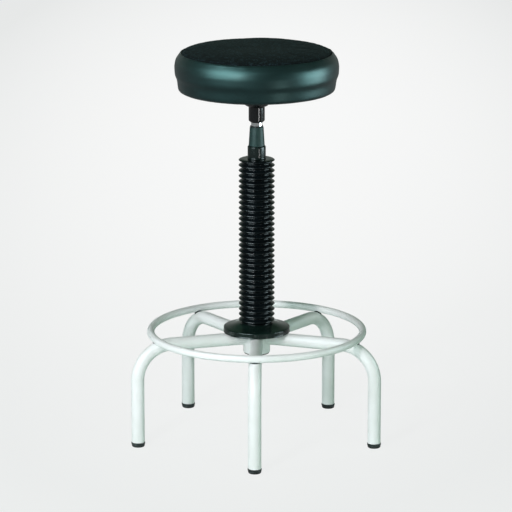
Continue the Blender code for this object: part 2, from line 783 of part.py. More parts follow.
def build_collar(slide, finishes):
    """What rides up and down with the spindle without turning."""
    place("collar", turned("collar", collar_section(), COLUMN_SIDES), finishes["collar plastic"], slide)
    bush_bottom = collar_spigot_bottom + COLLAR_LIP + SEAT_GAP
    bush_top = sleeve_bottom - SLEEVE_SPIGOT_LENGTH - SEAT_GAP
    bush = ring("collar_bush", spindle_bore, bush_radius, bush_bottom, bush_top, COLUMN_SIDES)
    place("collar_bush", bush, finishes["bush nylon"], slide)
    place("sleeve", turned("sleeve", sleeve_section(), COLUMN_SIDES), finishes["sleeve plastic"], slide)
    wiper = turned("wiper_ring", wiper_section(), COLUMN_SIDES)
    place("wiper_ring", wiper, finishes["wiper rubber"], slide)
    retainer_top = bellows_top - BELLOWS_TOP_WALL - SEAT_GAP
    retainer = ring(
        "bellows_retainer",
        collar_spigot_radius + SEAT_GAP,
        retainer_radius,
        retainer_top - RETAINER_THICKNESS,
        retainer_top,
        COLUMN_SIDES,
        FINE_CHAMFER,
    )
    place("bellows_retainer", retainer, finishes["collar plastic"], slide)


def build_spindle(seat, finishes):
    """The spindle, its clip, the seat hub and the screws that join them to the board."""
    place("spindle", turned("spindle", spindle_section(), COLUMN_SIDES), finishes["chromed steel"], seat)
    clip_bore = SPINDLE_RADIUS - CLIP_GROOVE_DEPTH + SEAT_GAP
    clip = ring("spindle_clip", clip_bore, clip_radius, clip_bottom, clip_top, COLUMN_SIDES)
    clip = place("spindle_clip", clip, finishes["bare steel"], seat)
    mouth = prism(
        "clip_mouth",
        [
            (0, clip_bottom - CLIP_THICKNESS),
            (2 * clip_radius, clip_bottom - CLIP_THICKNESS),
            (2 * clip_radius, clip_top + CLIP_THICKNESS),
            (0, clip_top + CLIP_THICKNESS),
        ],
        CLIP_OPENING,
    )
    combine(clip, cutter("clip_mouth", mouth, seat, turn=math.pi / 2), "DIFFERENCE")
    casting = turned("seat_hub", seat_hub_section(), FLANGE_SIDES)
    hub = place("seat_hub", casting, finishes["black enamel"], seat)
    web = prism("seat_hub_web", web_outline(), WEB_THICKNESS)
    hole_radius = SCREW_RADIUS + SEAT_GAP
    hole_bottom = flange_bottom - CUT_OVERRUN
    hole = cylinder("screw_hole", hole_radius, hole_bottom, flange_top + CUT_OVERRUN, SCREW_SIDES)
    for index in range(SCREW_COUNT):
        between = math.tau * (index + 0.5) / SCREW_COUNT
        combine(hub, cutter(f"seat_hub_web_{index + 1}", web, seat, turn=between), "UNION")
    for index in range(SCREW_COUNT):
        turn = math.tau * index / SCREW_COUNT
        spot = (screw_circle_radius * math.cos(turn), screw_circle_radius * math.sin(turn), 0)
        off_facet = turn + math.pi / SCREW_SIDES
        combine(hub, cutter(f"flange_hole_{index + 1}", hole, seat, spot, off_facet), "DIFFERENCE")
    place("centre_screw", turned("centre_screw", bolt_section(), SCREW_SIDES), finishes["zinc plate"], seat)


def build_cushion(seat, finishes):
    """The board, foam, side cover, top panel and base cloth, with the four seat screws."""
    disc = turned("seat_board", board_section(), SEAT_SIDES)
    board = place("seat_board", disc, finishes["plywood"], seat)
    screw = turned("seat_screw", screw_section(), SCREW_SIDES)
    pilot_top = board_bottom + SCREW_BITE + SEAT_GAP
    pilot_bottom = board_bottom - CUT_OVERRUN
    pilot = cylinder("pilot", SCREW_RADIUS + SEAT_GAP, pilot_bottom, pilot_top, SCREW_SIDES)
    for index in range(SCREW_COUNT):
        turn = math.tau * index / SCREW_COUNT
        spot = (screw_circle_radius * math.cos(turn), screw_circle_radius * math.sin(turn), 0)
        off_facet = turn + math.pi / SCREW_SIDES
        combine(board, cutter(f"pilot_{index + 1}", pilot, seat, spot, off_facet), "DIFFERENCE")
        place(f"seat_screw_{index + 1}", screw, finishes["zinc plate"], seat, spot, off_facet)
    place("seat_foam", turned("seat_foam", foam_section(), SEAT_SIDES), finishes["foam"], seat)
    place("side_cover", turned("side_cover", cover_section(), SEAT_SIDES), finishes["vinyl"], seat)
    place("top_panel", turned("top_panel", panel_section(), SEAT_SIDES), finishes["panel fabric"], seat)
    place("base_cloth", cloth_mesh(), finishes["base cloth"], seat)


def build():
    clear_scene()
    finishes = {
        "white enamel": material("white enamel", (0.83, 0.86, 0.85), 0.3),
        "foot plastic": material("foot plastic", (0.012, 0.016, 0.015), 0.5),
        "bare steel": material("bare steel", (0.50, 0.50, 0.48), 0.35, 1.0),
        "bronze": material("bronze", (0.60, 0.42, 0.20), 0.35, 1.0),
        "skirt plastic": material("skirt plastic", (0.010, 0.022, 0.019), 0.25),
        "bellows rubber": material("bellows rubber", (0.006, 0.007, 0.008), 0.3),
        "collar plastic": material("collar plastic", (0.010, 0.017, 0.016), 0.25),
        "bush nylon": material("bush nylon", (0.75, 0.73, 0.66), 0.45),
        "sleeve plastic": material("sleeve plastic", (0.030, 0.055, 0.052), 0.5),
        "wiper rubber": material("wiper rubber", (0.006, 0.006, 0.006), 0.6),
        "chromed steel": material("chromed steel", (0.75, 0.77, 0.78), 0.12, 1.0),
        "black enamel": material("black enamel", (0.008, 0.010, 0.010), 0.25),
        "zinc plate": material("zinc plate", (0.60, 0.60, 0.58), 0.3, 1.0),
        "plywood": material("plywood", (0.45, 0.30, 0.16), 0.7),
        "foam": material("foam", (0.70, 0.62, 0.40), 0.9),
        "vinyl": material("vinyl", (0.015, 0.035, 0.032), 0.35),
        "panel fabric": material("panel fabric", (0.010, 0.018, 0.017), 0.9),
        "base cloth": material("base cloth", (0.012, 0.012, 0.012), 0.95),
    }
    column = empty("column_axis", location=(0, column_y, 0))
    slide = empty("lift_axis", column)
    seat = empty("turn_axis", slide)
    build_base(column, finishes)
    build_collar(slide, finishes)
    build_spindle(seat, finishes)
    build_cushion(seat, finishes)


build()
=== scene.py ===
from math import acos, atan2, cos, exp, hypot, inf, pi, radians, sin, sqrt, tau

import bmesh
import bpy
from mathutils import Matrix, Vector, noise


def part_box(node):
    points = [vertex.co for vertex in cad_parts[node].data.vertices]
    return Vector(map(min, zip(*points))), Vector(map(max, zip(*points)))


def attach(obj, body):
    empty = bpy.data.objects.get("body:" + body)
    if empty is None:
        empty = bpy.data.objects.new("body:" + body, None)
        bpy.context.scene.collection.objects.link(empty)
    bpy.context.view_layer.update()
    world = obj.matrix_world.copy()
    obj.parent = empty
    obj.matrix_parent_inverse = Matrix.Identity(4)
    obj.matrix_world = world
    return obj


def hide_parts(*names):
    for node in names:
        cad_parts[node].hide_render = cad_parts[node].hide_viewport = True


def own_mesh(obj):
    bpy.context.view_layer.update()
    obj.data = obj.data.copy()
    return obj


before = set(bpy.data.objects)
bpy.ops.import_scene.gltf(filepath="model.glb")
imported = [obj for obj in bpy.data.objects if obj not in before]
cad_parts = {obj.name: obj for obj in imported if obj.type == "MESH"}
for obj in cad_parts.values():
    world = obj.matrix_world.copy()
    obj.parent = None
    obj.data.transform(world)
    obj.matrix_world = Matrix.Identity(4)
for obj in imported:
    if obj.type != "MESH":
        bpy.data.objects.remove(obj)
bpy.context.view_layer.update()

# Sizes are in millimetres, and become metres where points are made
mm = 0.001
scene = bpy.context.scene


def heights(node):
    return [corner.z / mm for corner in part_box(node)]


columnLow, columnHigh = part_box("guide_tube")
columnX = (columnLow.x + columnHigh.x) / 2 / mm
columnY = (columnLow.y + columnHigh.y) / 2 / mm
legNames = ("front", "right_front", "right_back", "left_back", "left_front")
legTurns = [radians(-90 + 72 * index) for index in range(5)]


def linear(code):
    # From an sRGB colour code to linear colour
    parts = [int(code[place:place + 2], 16) / 255 for place in (1, 3, 5)]
    return (*(part / 12.92 if part <= 0.04045 else ((part + 0.055) / 1.055) ** 2.4 for part in parts), 1.0)


def plug(tree, node, key, value):
    # Links a socket to an input, or sets an input or a setting. Colours are given as sRGB codes.
    if isinstance(value, str) and value.startswith("#"):
        value = linear(value)
    if isinstance(value, bpy.types.NodeSocket):
        tree.links.new(value, node.inputs[key])
    elif isinstance(key, int) or key in node.inputs:
        node.inputs[key].default_value = value
    else:
        setattr(node, key, value)


def addNode(tree, kind, values=None, output=0):
    # Adds a node and gives one of its outputs
    made = tree.nodes.new(kind)
    for key, value in (values or {}).items():
        plug(tree, made, key, value)
    return made.outputs[output] if made.outputs else None


def maths(tree, operation, *values):
    return addNode(tree, "ShaderNodeMath", {"operation": operation, **dict(enumerate(values))})


def texture(tree, kind, place, output=0, **settings):
    made = tree.nodes.new("ShaderNodeTex" + kind)
    for key, value in settings.items():
        title = key.capitalize()
        plug(tree, made, title if title in made.inputs else key, value)
    plug(tree, made, "Vector", place)
    return made.outputs[output]


def ranged(tree, value, low, high, fromLow=0.0, fromHigh=1.0):
    return addNode(tree, "ShaderNodeMapRange", {0: value, 1: fromLow, 2: fromHigh, 3: low, 4: high})


def blended(tree, share, first, second):
    return addNode(tree, "ShaderNodeMix", {"data_type": "RGBA", 0: share, 6: first, 7: second}, 2)


def patched(tree, value, low, high, first, second):
    # From the first colour to the second as the value goes from low to high
    return blended(tree, ranged(tree, value, 0, 1, low, high), first, second)


def bumped(tree, height, depth, strength=1.0):
    return addNode(tree, "ShaderNodeBump", {"Strength": strength, "Distance": depth * mm, "Height": height})


def newMaterial(name):
    made = bpy.data.materials.new(name)
    made.use_nodes = True
    return made, made.node_tree, addNode(made.node_tree, "ShaderNodeTexCoord", output="Object")


def dressed(made, values):
    # Sets the inputs of a material's shader
    for key, value in values.items():
        plug(made.node_tree, made.node_tree.nodes["Principled BSDF"], key, value)
    return made


def powderCoatedSteel():
    # White powder coat on steel tube, baked on: a satin skin with a faint orange peel
    look = {"white": "#eff3f3", "warmer": "#e6ebe9", "peelSize": 2.2, "peelDepth": 0.035}
    made, tree, place = newMaterial("powderCoatedSteel")
    broad = texture(tree, "Noise", place, scale=14.0, detail=3.0)
    peel = texture(tree, "Noise", place, scale=1000 / look["peelSize"], detail=1.5)
    return dressed(made, {
        "Specular IOR Level": 0.2,
        "Base Color": patched(tree, broad, 0.4, 0.72, look["white"], look["warmer"]),
        "Roughness": ranged(tree, peel, 0.37, 0.49),
        "Normal": bumped(tree, peel, look["peelDepth"]),
    })


def upholsteryVinyl():
    # PVC upholstery vinyl, calendered with a fine leather grain: satin, so highlights spread softly
    look = {"colour": "#0a1617", "paler": "#0f1e1f", "tint": "#b8efea", "grainSize": 1.5, "grainDepth": 0.05}
    made, tree, place = newMaterial("upholsteryVinyl")
    warp = texture(tree, "Noise", place, "Color", scale=160.0, detail=2.0)
    bent = addNode(tree, "ShaderNodeMix", {"data_type": "VECTOR", 0: 0.0012, 4: place, 5: warp}, 1)
    grain = texture(tree, "Voronoi", bent, feature="SMOOTH_F1", scale=1000 / look["grainSize"], smoothness=0.6)
    broad = texture(tree, "Noise", place, scale=22.0, detail=4.0)
    return dressed(made, {
        "Specular Tint": look["tint"],
        "Base Color": patched(tree, broad, 0.35, 0.7, look["colour"], look["paler"]),
        "Roughness": ranged(tree, grain, 0.32, 0.4, 0.0, 0.6),
        "Normal": bumped(tree, grain, look["grainDepth"]),
    })


def stippledFabric():
    # Warp-knitted polyester with a stippled pile: matt, with paler loops and a sheen at grazing angles
    look = {"ground": "#04090b", "loop": "#2f474d", "sheen": "#8fb5ae", "loopSize": 3.4, "loopDepth": 0.35}
    made, tree, place = newMaterial("stippledFabric")
    loops = texture(tree, "Voronoi", place, scale=1000 / look["loopSize"], randomness=0.8)
    fibres = texture(tree, "Noise", place, scale=700.0, detail=4.0, roughness=0.7)
    patch = texture(tree, "Noise", place, scale=95.0, detail=3.0)
    lit = maths(tree, "MULTIPLY", ranged(tree, loops, 1, 0, 0.1, 0.55), ranged(tree, patch, 0, 1, 0.43, 0.67))
    return dressed(made, {
        "Roughness": 0.92,
        "Specular IOR Level": 0.08,
        "Sheen Weight": 0.05,
        "Sheen Roughness": 0.4,
        "Sheen Tint": look["sheen"],
        "Base Color": blended(tree, lit, look["ground"], look["loop"]),
        "Normal": bumped(tree, maths(tree, "SUBTRACT", fibres, loops), look["loopDepth"], 0.8),
    })


def mouldedPlastic(name, colour, paler, roughness, textureSize, textureDepth, gloss=0.5, ior=1.48):
    # Injection moulding: an even colour, a fine spark-eroded texture and slow flow marks in the gloss
    made, tree, place = newMaterial(name)
    broad = texture(tree, "Noise", place, scale=30.0, detail=3.0)
    fine = texture(tree, "Noise", place, scale=1000 / textureSize, detail=2.0)
    return dressed(made, {
        "IOR": ior,
        "Specular IOR Level": gloss,
        "Base Color": patched(tree, broad, 0.35, 0.65, colour, paler),
        "Roughness": ranged(tree, broad, roughness * 0.85, roughness * 1.2, 0.3, 0.7),
        "Normal": bumped(tree, fine, textureDepth),
    })


def chromePlate():
    # Hard chrome on a ground steel rod: a mirror with faint grinding rings round it
    made, tree, place = newMaterial("chromePlate")
    rings = texture(tree, "Wave", place, "Fac", bands_direction="Z", scale=400.0, distortion=0.6, detail=2.0)
    return dressed(made, {
        "Base Color": "#dfe3e4",
        "Metallic": 1.0,
        "Roughness": ranged(tree, rings, 0.07, 0.13),
        "Normal": bumped(tree, rings, 0.004),
    })


def machinedMetal(name, colour, darker, roughness, size):
    # Turned or plated metal: an even tone broken by fine tool marks and a thin film of oil or passivate
    made, tree, place = newMaterial(name)
    marks = texture(tree, "Wave", place, "Fac", bands_direction="Z", scale=50 / size, distortion=1.5, detail=3.0)
    film = texture(tree, "Noise", place, scale=90.0, detail=5.0)
    return dressed(made, {
        "Metallic": 1.0,
        "Base Color": patched(tree, film, 0.35, 0.7, colour, darker),
        "Roughness": ranged(tree, film, roughness * 0.8, roughness * 1.3, 0.3, 0.7),
        "Normal": bumped(tree, marks, 0.01),
    })


def birchPlywood():
    # Rotary-cut birch plywood: fine grain on the faces, and on the sanded edge the plies as bands
    look = {"face": "#c9a877", "grain": "#a98452", "edgeDark": "#8a6438", "ply": 2.1}
    made, tree, place = newMaterial("birchPlywood")
    stretched = addNode(tree, "ShaderNodeMapping", {"Scale": (6.0, 90.0, 90.0), "Vector": place})
    grain = texture(tree, "Noise", stretched, scale=3.0, detail=6.0, distortion=1.2)
    plies = texture(tree, "Wave", place, "Fac", bands_direction="Z", scale=25 / look["ply"], distortion=0.3)
    face = patched(tree, grain, 0.35, 0.7, look["face"], look["grain"])
    edge = blended(tree, plies, look["face"], look["edgeDark"])
    normal = addNode(tree, "ShaderNodeNewGeometry", output="Normal")
    flat = maths(tree, "ABSOLUTE", addNode(tree, "ShaderNodeSeparateXYZ", {0: normal}, 2))
    return dressed(made, {
        "Roughness": 0.62,
        "Base Color": patched(tree, flat, 0.3, 0.6, edge, face),
        "Normal": bumped(tree, grain, 0.12),
    })


def polyurethaneFoam():
    # Slabstock polyurethane foam, cut with a blade: pale and matt, with open cells
    made, tree, place = newMaterial("polyurethaneFoam")
    cells = texture(tree, "Voronoi", place, scale=1000 / 1.6)
    tone = blended(tree, texture(tree, "Noise", place, scale=12.0, detail=3.0), "#e3d7ab", "#d2c08a")
    return dressed(made, {
        "Roughness": 0.95,
        "Specular IOR Level": 0.1,
        "Base Color": patched(tree, cells, 0.2, 0.7, tone, "#b6a36f"),
        "Normal": bumped(tree, cells, 0.5),
    })


def spunBondCloth():
    # Spun-bonded polypropylene dust cloth: flat fibres pressed together, with rows of bonding points
    made, tree, place = newMaterial("spunBondCloth")
    fibres = texture(tree, "Noise", place, scale=420.0, detail=6.0, roughness=0.75, distortion=2.5)
    points = texture(tree, "Voronoi", place, scale=1000 / 2.2, randomness=0.0)
    tone = patched(tree, fibres, 0.35, 0.7, "#141616", "#2b2e2e")
    return dressed(made, {
        "Roughness": 0.85,
        "Specular IOR Level": 0.25,
        "Sheen Weight": 0.1,
        "Base Color": blended(tree, ranged(tree, points, 1, 0, 0.05, 0.25), tone, "#0c0d0d"),
        "Normal": bumped(tree, fibres, 0.15),
    })


white = powderCoatedSteel()
vinyl = upholsteryVinyl()
fabric = stippledFabric()
chrome = chromePlate()
plywood = birchPlywood()
foam = polyurethaneFoam()
dustCloth = spunBondCloth()
oiledSteel = machinedMetal("oiledSteelTube", "#8f9190", "#6d6f6d", 0.34, 0.5)
# Dark metal on the ring's weld beads: painted shade, the shadow of the crevice under the ring painted onto the beads
creviceShadeMetal = machinedMetal("paintedCreviceShade", "#2b3433", "#1b2423", 0.5, 0.6)
bronze = machinedMetal("castBronze", "#b08a54", "#8a6a3c", 0.36, 0.5)
zinc = machinedMetal("zincPlatedSteel", "#b9bab4", "#9a9a90", 0.32, 0.6)
# Plasticised PVC, blow moulded: black and glossy
rubber = mouldedPlastic("blowMouldedPvc", "#060b0e", "#0a1114", 0.19, 1.6, 0.002, gloss=0.42)
# ABS skirt: glossy, green-black
skirtAbs = mouldedPlastic("mouldedAbs", "#0c1715", "#122420", 0.14, 1.4, 0.004)
# Acetal collar: glossy and almost black
acetal = mouldedPlastic("mouldedAcetal", "#0d1817", "#14211f", 0.22, 0.8, 0.001, gloss=0.38)
# Glass-filled nylon sleeve: matt grey-green
nylonSleeve = mouldedPlastic("glassFilledNylon", "#1c3231", "#253d3b", 0.4, 0.9, 0.03, gloss=0.22)
naturalNylon = mouldedPlastic("naturalNylon", "#dcd8c8", "#e6e2d4", 0.42, 0.9, 0.02)
nitrile = mouldedPlastic("nitrileRubber", "#0b0c0c", "#131515", 0.5, 0.8, 0.02)
polythene = mouldedPlastic("mouldedPolythene", "#1b2222", "#2a3332", 0.4, 1.0, 0.03)
# Gloss stoving enamel on the cast hub
blackEnamel = mouldedPlastic("stovingEnamel", "#06080a", "#0a0d0e", 0.13, 2.0, 0.0015, ior=1.52)
print("materials made")


def eased(points, closed, steps):
    # Rounds each corner of a section. A point is radius, height and how far along the edges to round.
    made = []
    count = len(points)
    for index, point in enumerate(points):
        here = Vector(point[:2])
        ease = point[2] if len(point) > 2 else 0.0
        if not ease or (not closed and index in (0, count - 1)):
            made.append(here)
            continue
        before = Vector(points[index - 1][:2]) - here
        after = Vector(points[(index + 1) % count][:2]) - here
        start = here + before.normalized() * min(ease, before.length * 0.48)
        end = here + after.normalized() * min(ease, after.length * 0.48)
        for step in range(steps + 1):
            share = step / steps
            made.append(start * (1 - share) ** 2 + here * 2 * share * (1 - share) + end * share ** 2)
    return made


def turned(bm, line, sides, centre=(columnX, columnY)):
    # A ring of points about an upright axis for each point of a line. A point on the axis is its own ring.
    rings = []
    for point in line:
        if point.x < 1e-4:
            rings.append([bm.verts.new(Vector((*centre, point.y)) * mm)] * sides)
            continue
        rings.append([])
        for side in range(sides):
            way = Vector((cos(tau * side / sides), sin(tau * side / sides)))
            x, y = Vector(centre) + way * point.x
            rings[-1].append(bm.verts.new(Vector((x, y, point.y)) * mm))
    return rings


def skinned(bm, rings, closed=False, inside=False):
    # Faces from each ring to the next
    for lower, upper in zip(rings, rings[1:] + rings[:1] if closed else rings[1:]):
        for side in range(len(lower)):
            after = (side + 1) % len(lower)
            corners = list(dict.fromkeys((lower[side], lower[after], upper[after], upper[side])))
            if len(corners) > 2:
                bm.faces.new(corners[::-1] if inside else corners)


def plainMesh(bm, name):
    mesh = bpy.data.meshes.new(name)
    bm.to_mesh(mesh)
    bm.free()
    return mesh


def toMesh(bm, name, sharp=38, outward=True):
    bmesh.ops.remove_doubles(bm, verts=bm.verts, dist=1e-6)
    bmesh.ops.dissolve_degenerate(bm, edges=bm.edges, dist=1e-7)
    if outward:
        bmesh.ops.recalc_face_normals(bm, faces=bm.faces)
    mesh = plainMesh(bm, name)
    mesh.shade_smooth()
    if sharp:
        mesh.set_sharp_from_angle(angle=radians(sharp))
    return mesh


def lathed(name, section, sides=96, centre=(columnX, columnY), ease=4, sharp=38):
    # A section turned about an upright axis. One that starts and ends on the axis is closed by it.
    closed = section[0][0] > 0
    bm = bmesh.new()
    skinned(bm, turned(bm, eased(section, closed, ease), sides, centre), closed)
    return toMesh(bm, name, sharp)


def addObject(name, mesh):
    made = bpy.data.objects.new(name, mesh)
    scene.collection.objects.link(made)
    return made


def piece(name, mesh, body, material, replaces=()):
    made = addObject(name, mesh)
    if material:
        mesh.materials.clear()
        mesh.materials.append(material)
    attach(made, body)
    if replaces:
        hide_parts(*replaces)
    return made


def turnedPiece(name, section, body, material, slot, replaces=(), sides=96, **shape):
    return piece(name, lathed(name, section, sides, **shape), body, material, replaces)


def evaluatedMesh(carrier):
    graph = bpy.context.evaluated_depsgraph_get()
    return bpy.data.meshes.new_from_object(carrier.evaluated_get(graph))


def combined(target, tools, operation, selfCut=False):
    # Joins tools to an object or cuts them out of it, and gives the result as a plain mesh
    for tool in tools:
        modifier = target.modifiers.new(tool.name, "BOOLEAN")
        modifier.object, modifier.operation, modifier.solver = tool, operation, "EXACT"
        modifier.use_self = selfCut
    made = evaluatedMesh(target)
    for used in (*tools, target):
        bpy.data.objects.remove(used)
    return made


def newTree(name, inputs):
    tree = bpy.data.node_groups.new(name, "GeometryNodeTree")
    for label, kind in (("Geometry", "Geometry"), *inputs.items()):
        tree.interface.new_socket(label, in_out="INPUT", socket_type="NodeSocket" + kind)
    tree.interface.new_socket("Geometry", in_out="OUTPUT", socket_type="NodeSocketGeometry")
    return tree, tree.nodes.new("NodeGroupInput").outputs


def endTree(tree, geometry, material):
    real = addNode(tree, "GeometryNodeRealizeInstances", {0: geometry})
    smooth = addNode(tree, "GeometryNodeSetShadeSmooth", {0: real})
    painted = addNode(tree, "GeometryNodeSetMaterial", {"Geometry": smooth, "Material": material})
    addNode(tree, "NodeGroupOutput", {0: painted})


def grown(name, tree, values, mesh=None):
    # Runs a node tree on a mesh, or on an empty one, and gives the result as a plain mesh
    carrier = addObject(name, mesh or bpy.data.meshes.new("empty"))
    modifier = carrier.modifiers.new("grow", "NODES")
    modifier.node_group = tree
    for item in tree.interface.items_tree:
        if item.in_out == "INPUT" and item.name in values:
            modifier[item.identifier] = values[item.name]
    made = evaluatedMesh(carrier)
    bpy.data.objects.remove(carrier)
    made.name = name
    return made


def spotAt(turn, outward, across, height):
    # A place in metres, from how far it is out from the column at a turn, how far across that, and how high
    way = Vector((cos(turn), sin(turn)))
    x, y = Vector((columnX, columnY)) + way * outward + way.orthogonal() * across
    return Vector((x, y, height)) * mm


leg = {
    "tube": 14.0,
    "wall": 1.5,
    "bend": 76.0,
    "circle": 269.0,
    "armHeight": 224.0,
    "foot": 10.3,
    "sides": 40,
    "bendSteps": 30,
}
hub = {"outer": 29.0, "bore": 25.3, "bottom": 192.0, "top": 247.0}
ring = {"tube": 8.0, "radius": 230.619, "height": 238.781, "sides": 28, "steps": 240}
bendRadius, bendHeight = leg["circle"] - leg["bend"], leg["armHeight"] - leg["bend"]


def legMesh(name, turn):
    stations = [None] + [(outward, leg["armHeight"], 0.0) for outward in (60, 110, 150)]
    for step in range(leg["bendSteps"] + 1):
        lean = pi / 2 * step / leg["bendSteps"]
        stations.append((bendRadius + leg["bend"] * sin(lean), bendHeight + leg["bend"] * cos(lean), lean))
    stations += [(leg["circle"], height, pi / 2) for height in (110, 60, leg["foot"])]
    bm = bmesh.new()
    walls = []
    for tube in (leg["tube"], leg["tube"] - leg["wall"]):
        walls.append([])
        for station in stations:
            rim = []
            for side in range(leg["sides"]):
                angle = tau * side / leg["sides"]
                lift, across = tube * cos(angle), tube * sin(angle)
                if station is None:  # coped to the hub
                    outward, height = sqrt(hub["outer"] ** 2 - across ** 2), leg["armHeight"] + lift
                else:
                    outward = station[0] + lift * sin(station[2])
                    height = station[1] + lift * cos(station[2])
                rim.append(bm.verts.new(spotAt(turn, outward, across, height)))
            walls[-1].append(rim)
    skinned(bm, walls[0] + walls[1][::-1], closed=True)
    return toMesh(bm, name)


glideSection = [
    (0, 0), (12.5, 0, 1.0), (14.0, 2.0, 1.0), (14.2, 5.2, 0.3), (13.6, 5.7, 0.3), (15.0, 6.2, 0.5),
    (15.0, 10.0, 0.7), (12.2, 10.0), (12.2, 24.0, 0.5), (10.7, 26.0, 0.5), (0, 26.0),
]
for legName, turn in zip(legNames, legTurns):
    tube = legMesh(f"tube_{legName}", turn)
    piece(f"tube_{legName}", tube, "base", white, [f"leg_{legName}"])
    centre = (columnX + leg["circle"] * cos(turn), columnY + leg["circle"] * sin(turn))
    turnedPiece(
        f"glide_{legName}", glideSection, "base", polythene, "foot_plastic", [f"foot_{legName}"], 48, centre=centre,
    )

ringSection = []
for side in range(ring["sides"]):
    angle = tau * side / ring["sides"]
    out, up = ring["tube"] * cos(angle), ring["tube"] * sin(angle)
    ringSection.append((ring["radius"] + out, ring["height"] + up))
arcs = [f"foot_ring_{arc}" for arc in ("front_right", "right", "back", "left", "front_left")]
turnedPiece("footRing", ringSection, "base", white, "white_enamel", arcs, ring["steps"])

turnedPiece("hubTube", [
    (hub["bore"], hub["bottom"], 0.5), (hub["outer"], hub["bottom"], 1.2),
    (hub["outer"], hub["top"], 1.2), (hub["bore"], hub["top"], 0.5),
], "base", white, "white_enamel", ["hub"])

# Weld beads: a tube along each joint line, rippled as the weld pool leaves it
tree, given = newTree("weldBead", {
    "Bead Radius": "Float", "Ripples": "Float", "Ripple Depth": "Float",
    "Points": "Int", "Taper": "Float", "Enamel": "Material",
})
line = addNode(tree, "GeometryNodeMeshToCurve", {"Mesh": given["Geometry"]})
even = addNode(tree, "GeometryNodeResampleCurve", {"Curve": line, "Count": given["Points"]})
along = addNode(tree, "GeometryNodeSplineParameter", output="Factor")
phase = maths(tree, "MULTIPLY", maths(tree, "MULTIPLY", along, given["Ripples"]), tau)
ripple = maths(tree, "MULTIPLY_ADD", maths(tree, "SINE", phase), given["Ripple Depth"], 1.0)
half = maths(tree, "SUBTRACT", along, 0.5)
fall = maths(tree, "MULTIPLY", maths(tree, "MULTIPLY", half, half), given["Taper"])
outline = addNode(tree, "GeometryNodeCurvePrimitiveCircle", {"Resolution": 12, "Radius": given["Bead Radius"]})
sweep = addNode(tree, "GeometryNodeCurveToMesh", {
    "Fill Caps": True,
    "Curve": even,
    "Profile Curve": outline,
    "Scale": maths(tree, "SUBTRACT", ripple, fall),
})
endTree(tree, sweep, given["Enamel"])
weldTree = tree


def lineMesh(name, lines, closed):
    bm = bmesh.new()
    for line in lines:
        spots = [bm.verts.new(spot) for spot in line]
        for first, second in zip(spots, spots[1:] + spots[:1] if closed else spots[1:]):
            bm.edges.new((first, second))
    return plainMesh(bm, name)


hubWeld = {
    "Bead Radius": 1.7 * mm, "Ripples": 30.0, "Ripple Depth": 0.09, "Points": 180, "Taper": 0.0, "Enamel": white,
}
hubLine = {"overTube": 0.3, "overHub": 0.4, "points": 72}
hubLines = []
for turn in legTurns:
    hubLines.append([])
    for side in range(hubLine["points"]):
        angle = tau * side / hubLine["points"]
        reach = leg["tube"] + hubLine["overTube"]
        across = reach * sin(angle)
        outward = sqrt((hub["outer"] + hubLine["overHub"]) ** 2 - across ** 2)
        hubLines[-1].append(spotAt(turn, outward, across, leg["armHeight"] + reach * cos(angle)))
beads = grown("hubWelds", weldTree, hubWeld, lineMesh("hubWeldLines", hubLines, True))
piece("hubWelds", beads, "base", None)

# The ring's weld beads take the dark painted-shade metal, standing for the shadow in the crevice under the ring
ringWeld = {
    "Bead Radius": 1.7 * mm, "Ripples": 5.0, "Ripple Depth": 0.07, "Points": 36, "Taper": 1.6, "Enamel": creviceShadeMetal,
}
ringLine = {"offset": 1.0, "halfLength": 9.5, "halfSteps": 6}
toRing = Vector((ring["radius"] - bendRadius, ring["height"] - bendHeight))
ringLines = []
for turn in legTurns:
    for hand in (-1, 1):
        ringLines.append([])
        for step in range(2 * ringLine["halfSteps"] + 1):
            # Where the bead touches the leg's bend and the ring, in the leg's own plane
            across = ringLine["halfLength"] * (step / ringLine["halfSteps"] - 1)
            near = leg["bend"] + sqrt(leg["tube"] ** 2 - across ** 2) + ringLine["offset"]
            far, apart = ring["tube"] + ringLine["offset"], toRing.length
            opening = acos(min(1, (apart ** 2 + near ** 2 - far ** 2) / (2 * apart * near)))
            lean = atan2(toRing.y, toRing.x) + hand * opening
            spot = spotAt(turn, bendRadius + near * cos(lean), across, bendHeight + near * sin(lean))
            ringLines[-1].append(spot)
beads = grown("ringWelds", weldTree, ringWeld, lineMesh("ringWeldLines", ringLines, False))
piece("ringWelds", beads, "base", None)
print("frame made")

skirt = {"radius": 72.0, "rim": 11.5, "rise": 8.5, "shoulder": 38.5, "wall": 2.5, "spigot": 29.2, "bore": 25.3}
skirtLow, skirtHigh = heights("skirt")
wall, rim, shoulder = skirt["wall"], skirt["radius"], skirt["shoulder"]
rimTop = skirtLow + skirt["rim"]
shoulderTop = rimTop + skirt["rise"]
middle, middleTop = (shoulder + rim) / 2, (rimTop + shoulderTop) / 2 - 1.2
turnedPiece("skirtCone", [
    (skirt["bore"], skirtHigh, 0.5), (skirt["spigot"], skirtHigh, 0.8), (skirt["spigot"], shoulderTop),
    (shoulder, shoulderTop, 2.0), (middle, middleTop, 9.0), (rim - 1.4, rimTop + 0.1, 0.6),
    (rim, rimTop - 1.0, 0.6), (rim, skirtLow + 2.6, 0.4), (rim + 0.5, skirtLow + 2.0, 0.3),
    (rim + 0.5, skirtLow, 0.5), (rim - wall, skirtLow, 0.5), (rim - wall, rimTop - wall, 1.0),
    (middle, middleTop - wall, 9.0), (shoulder, shoulderTop - wall, 1.0), (skirt["bore"], shoulderTop - wall),
], "base", skirtAbs, "skirt_plastic", ["skirt"], 144, ease=6)

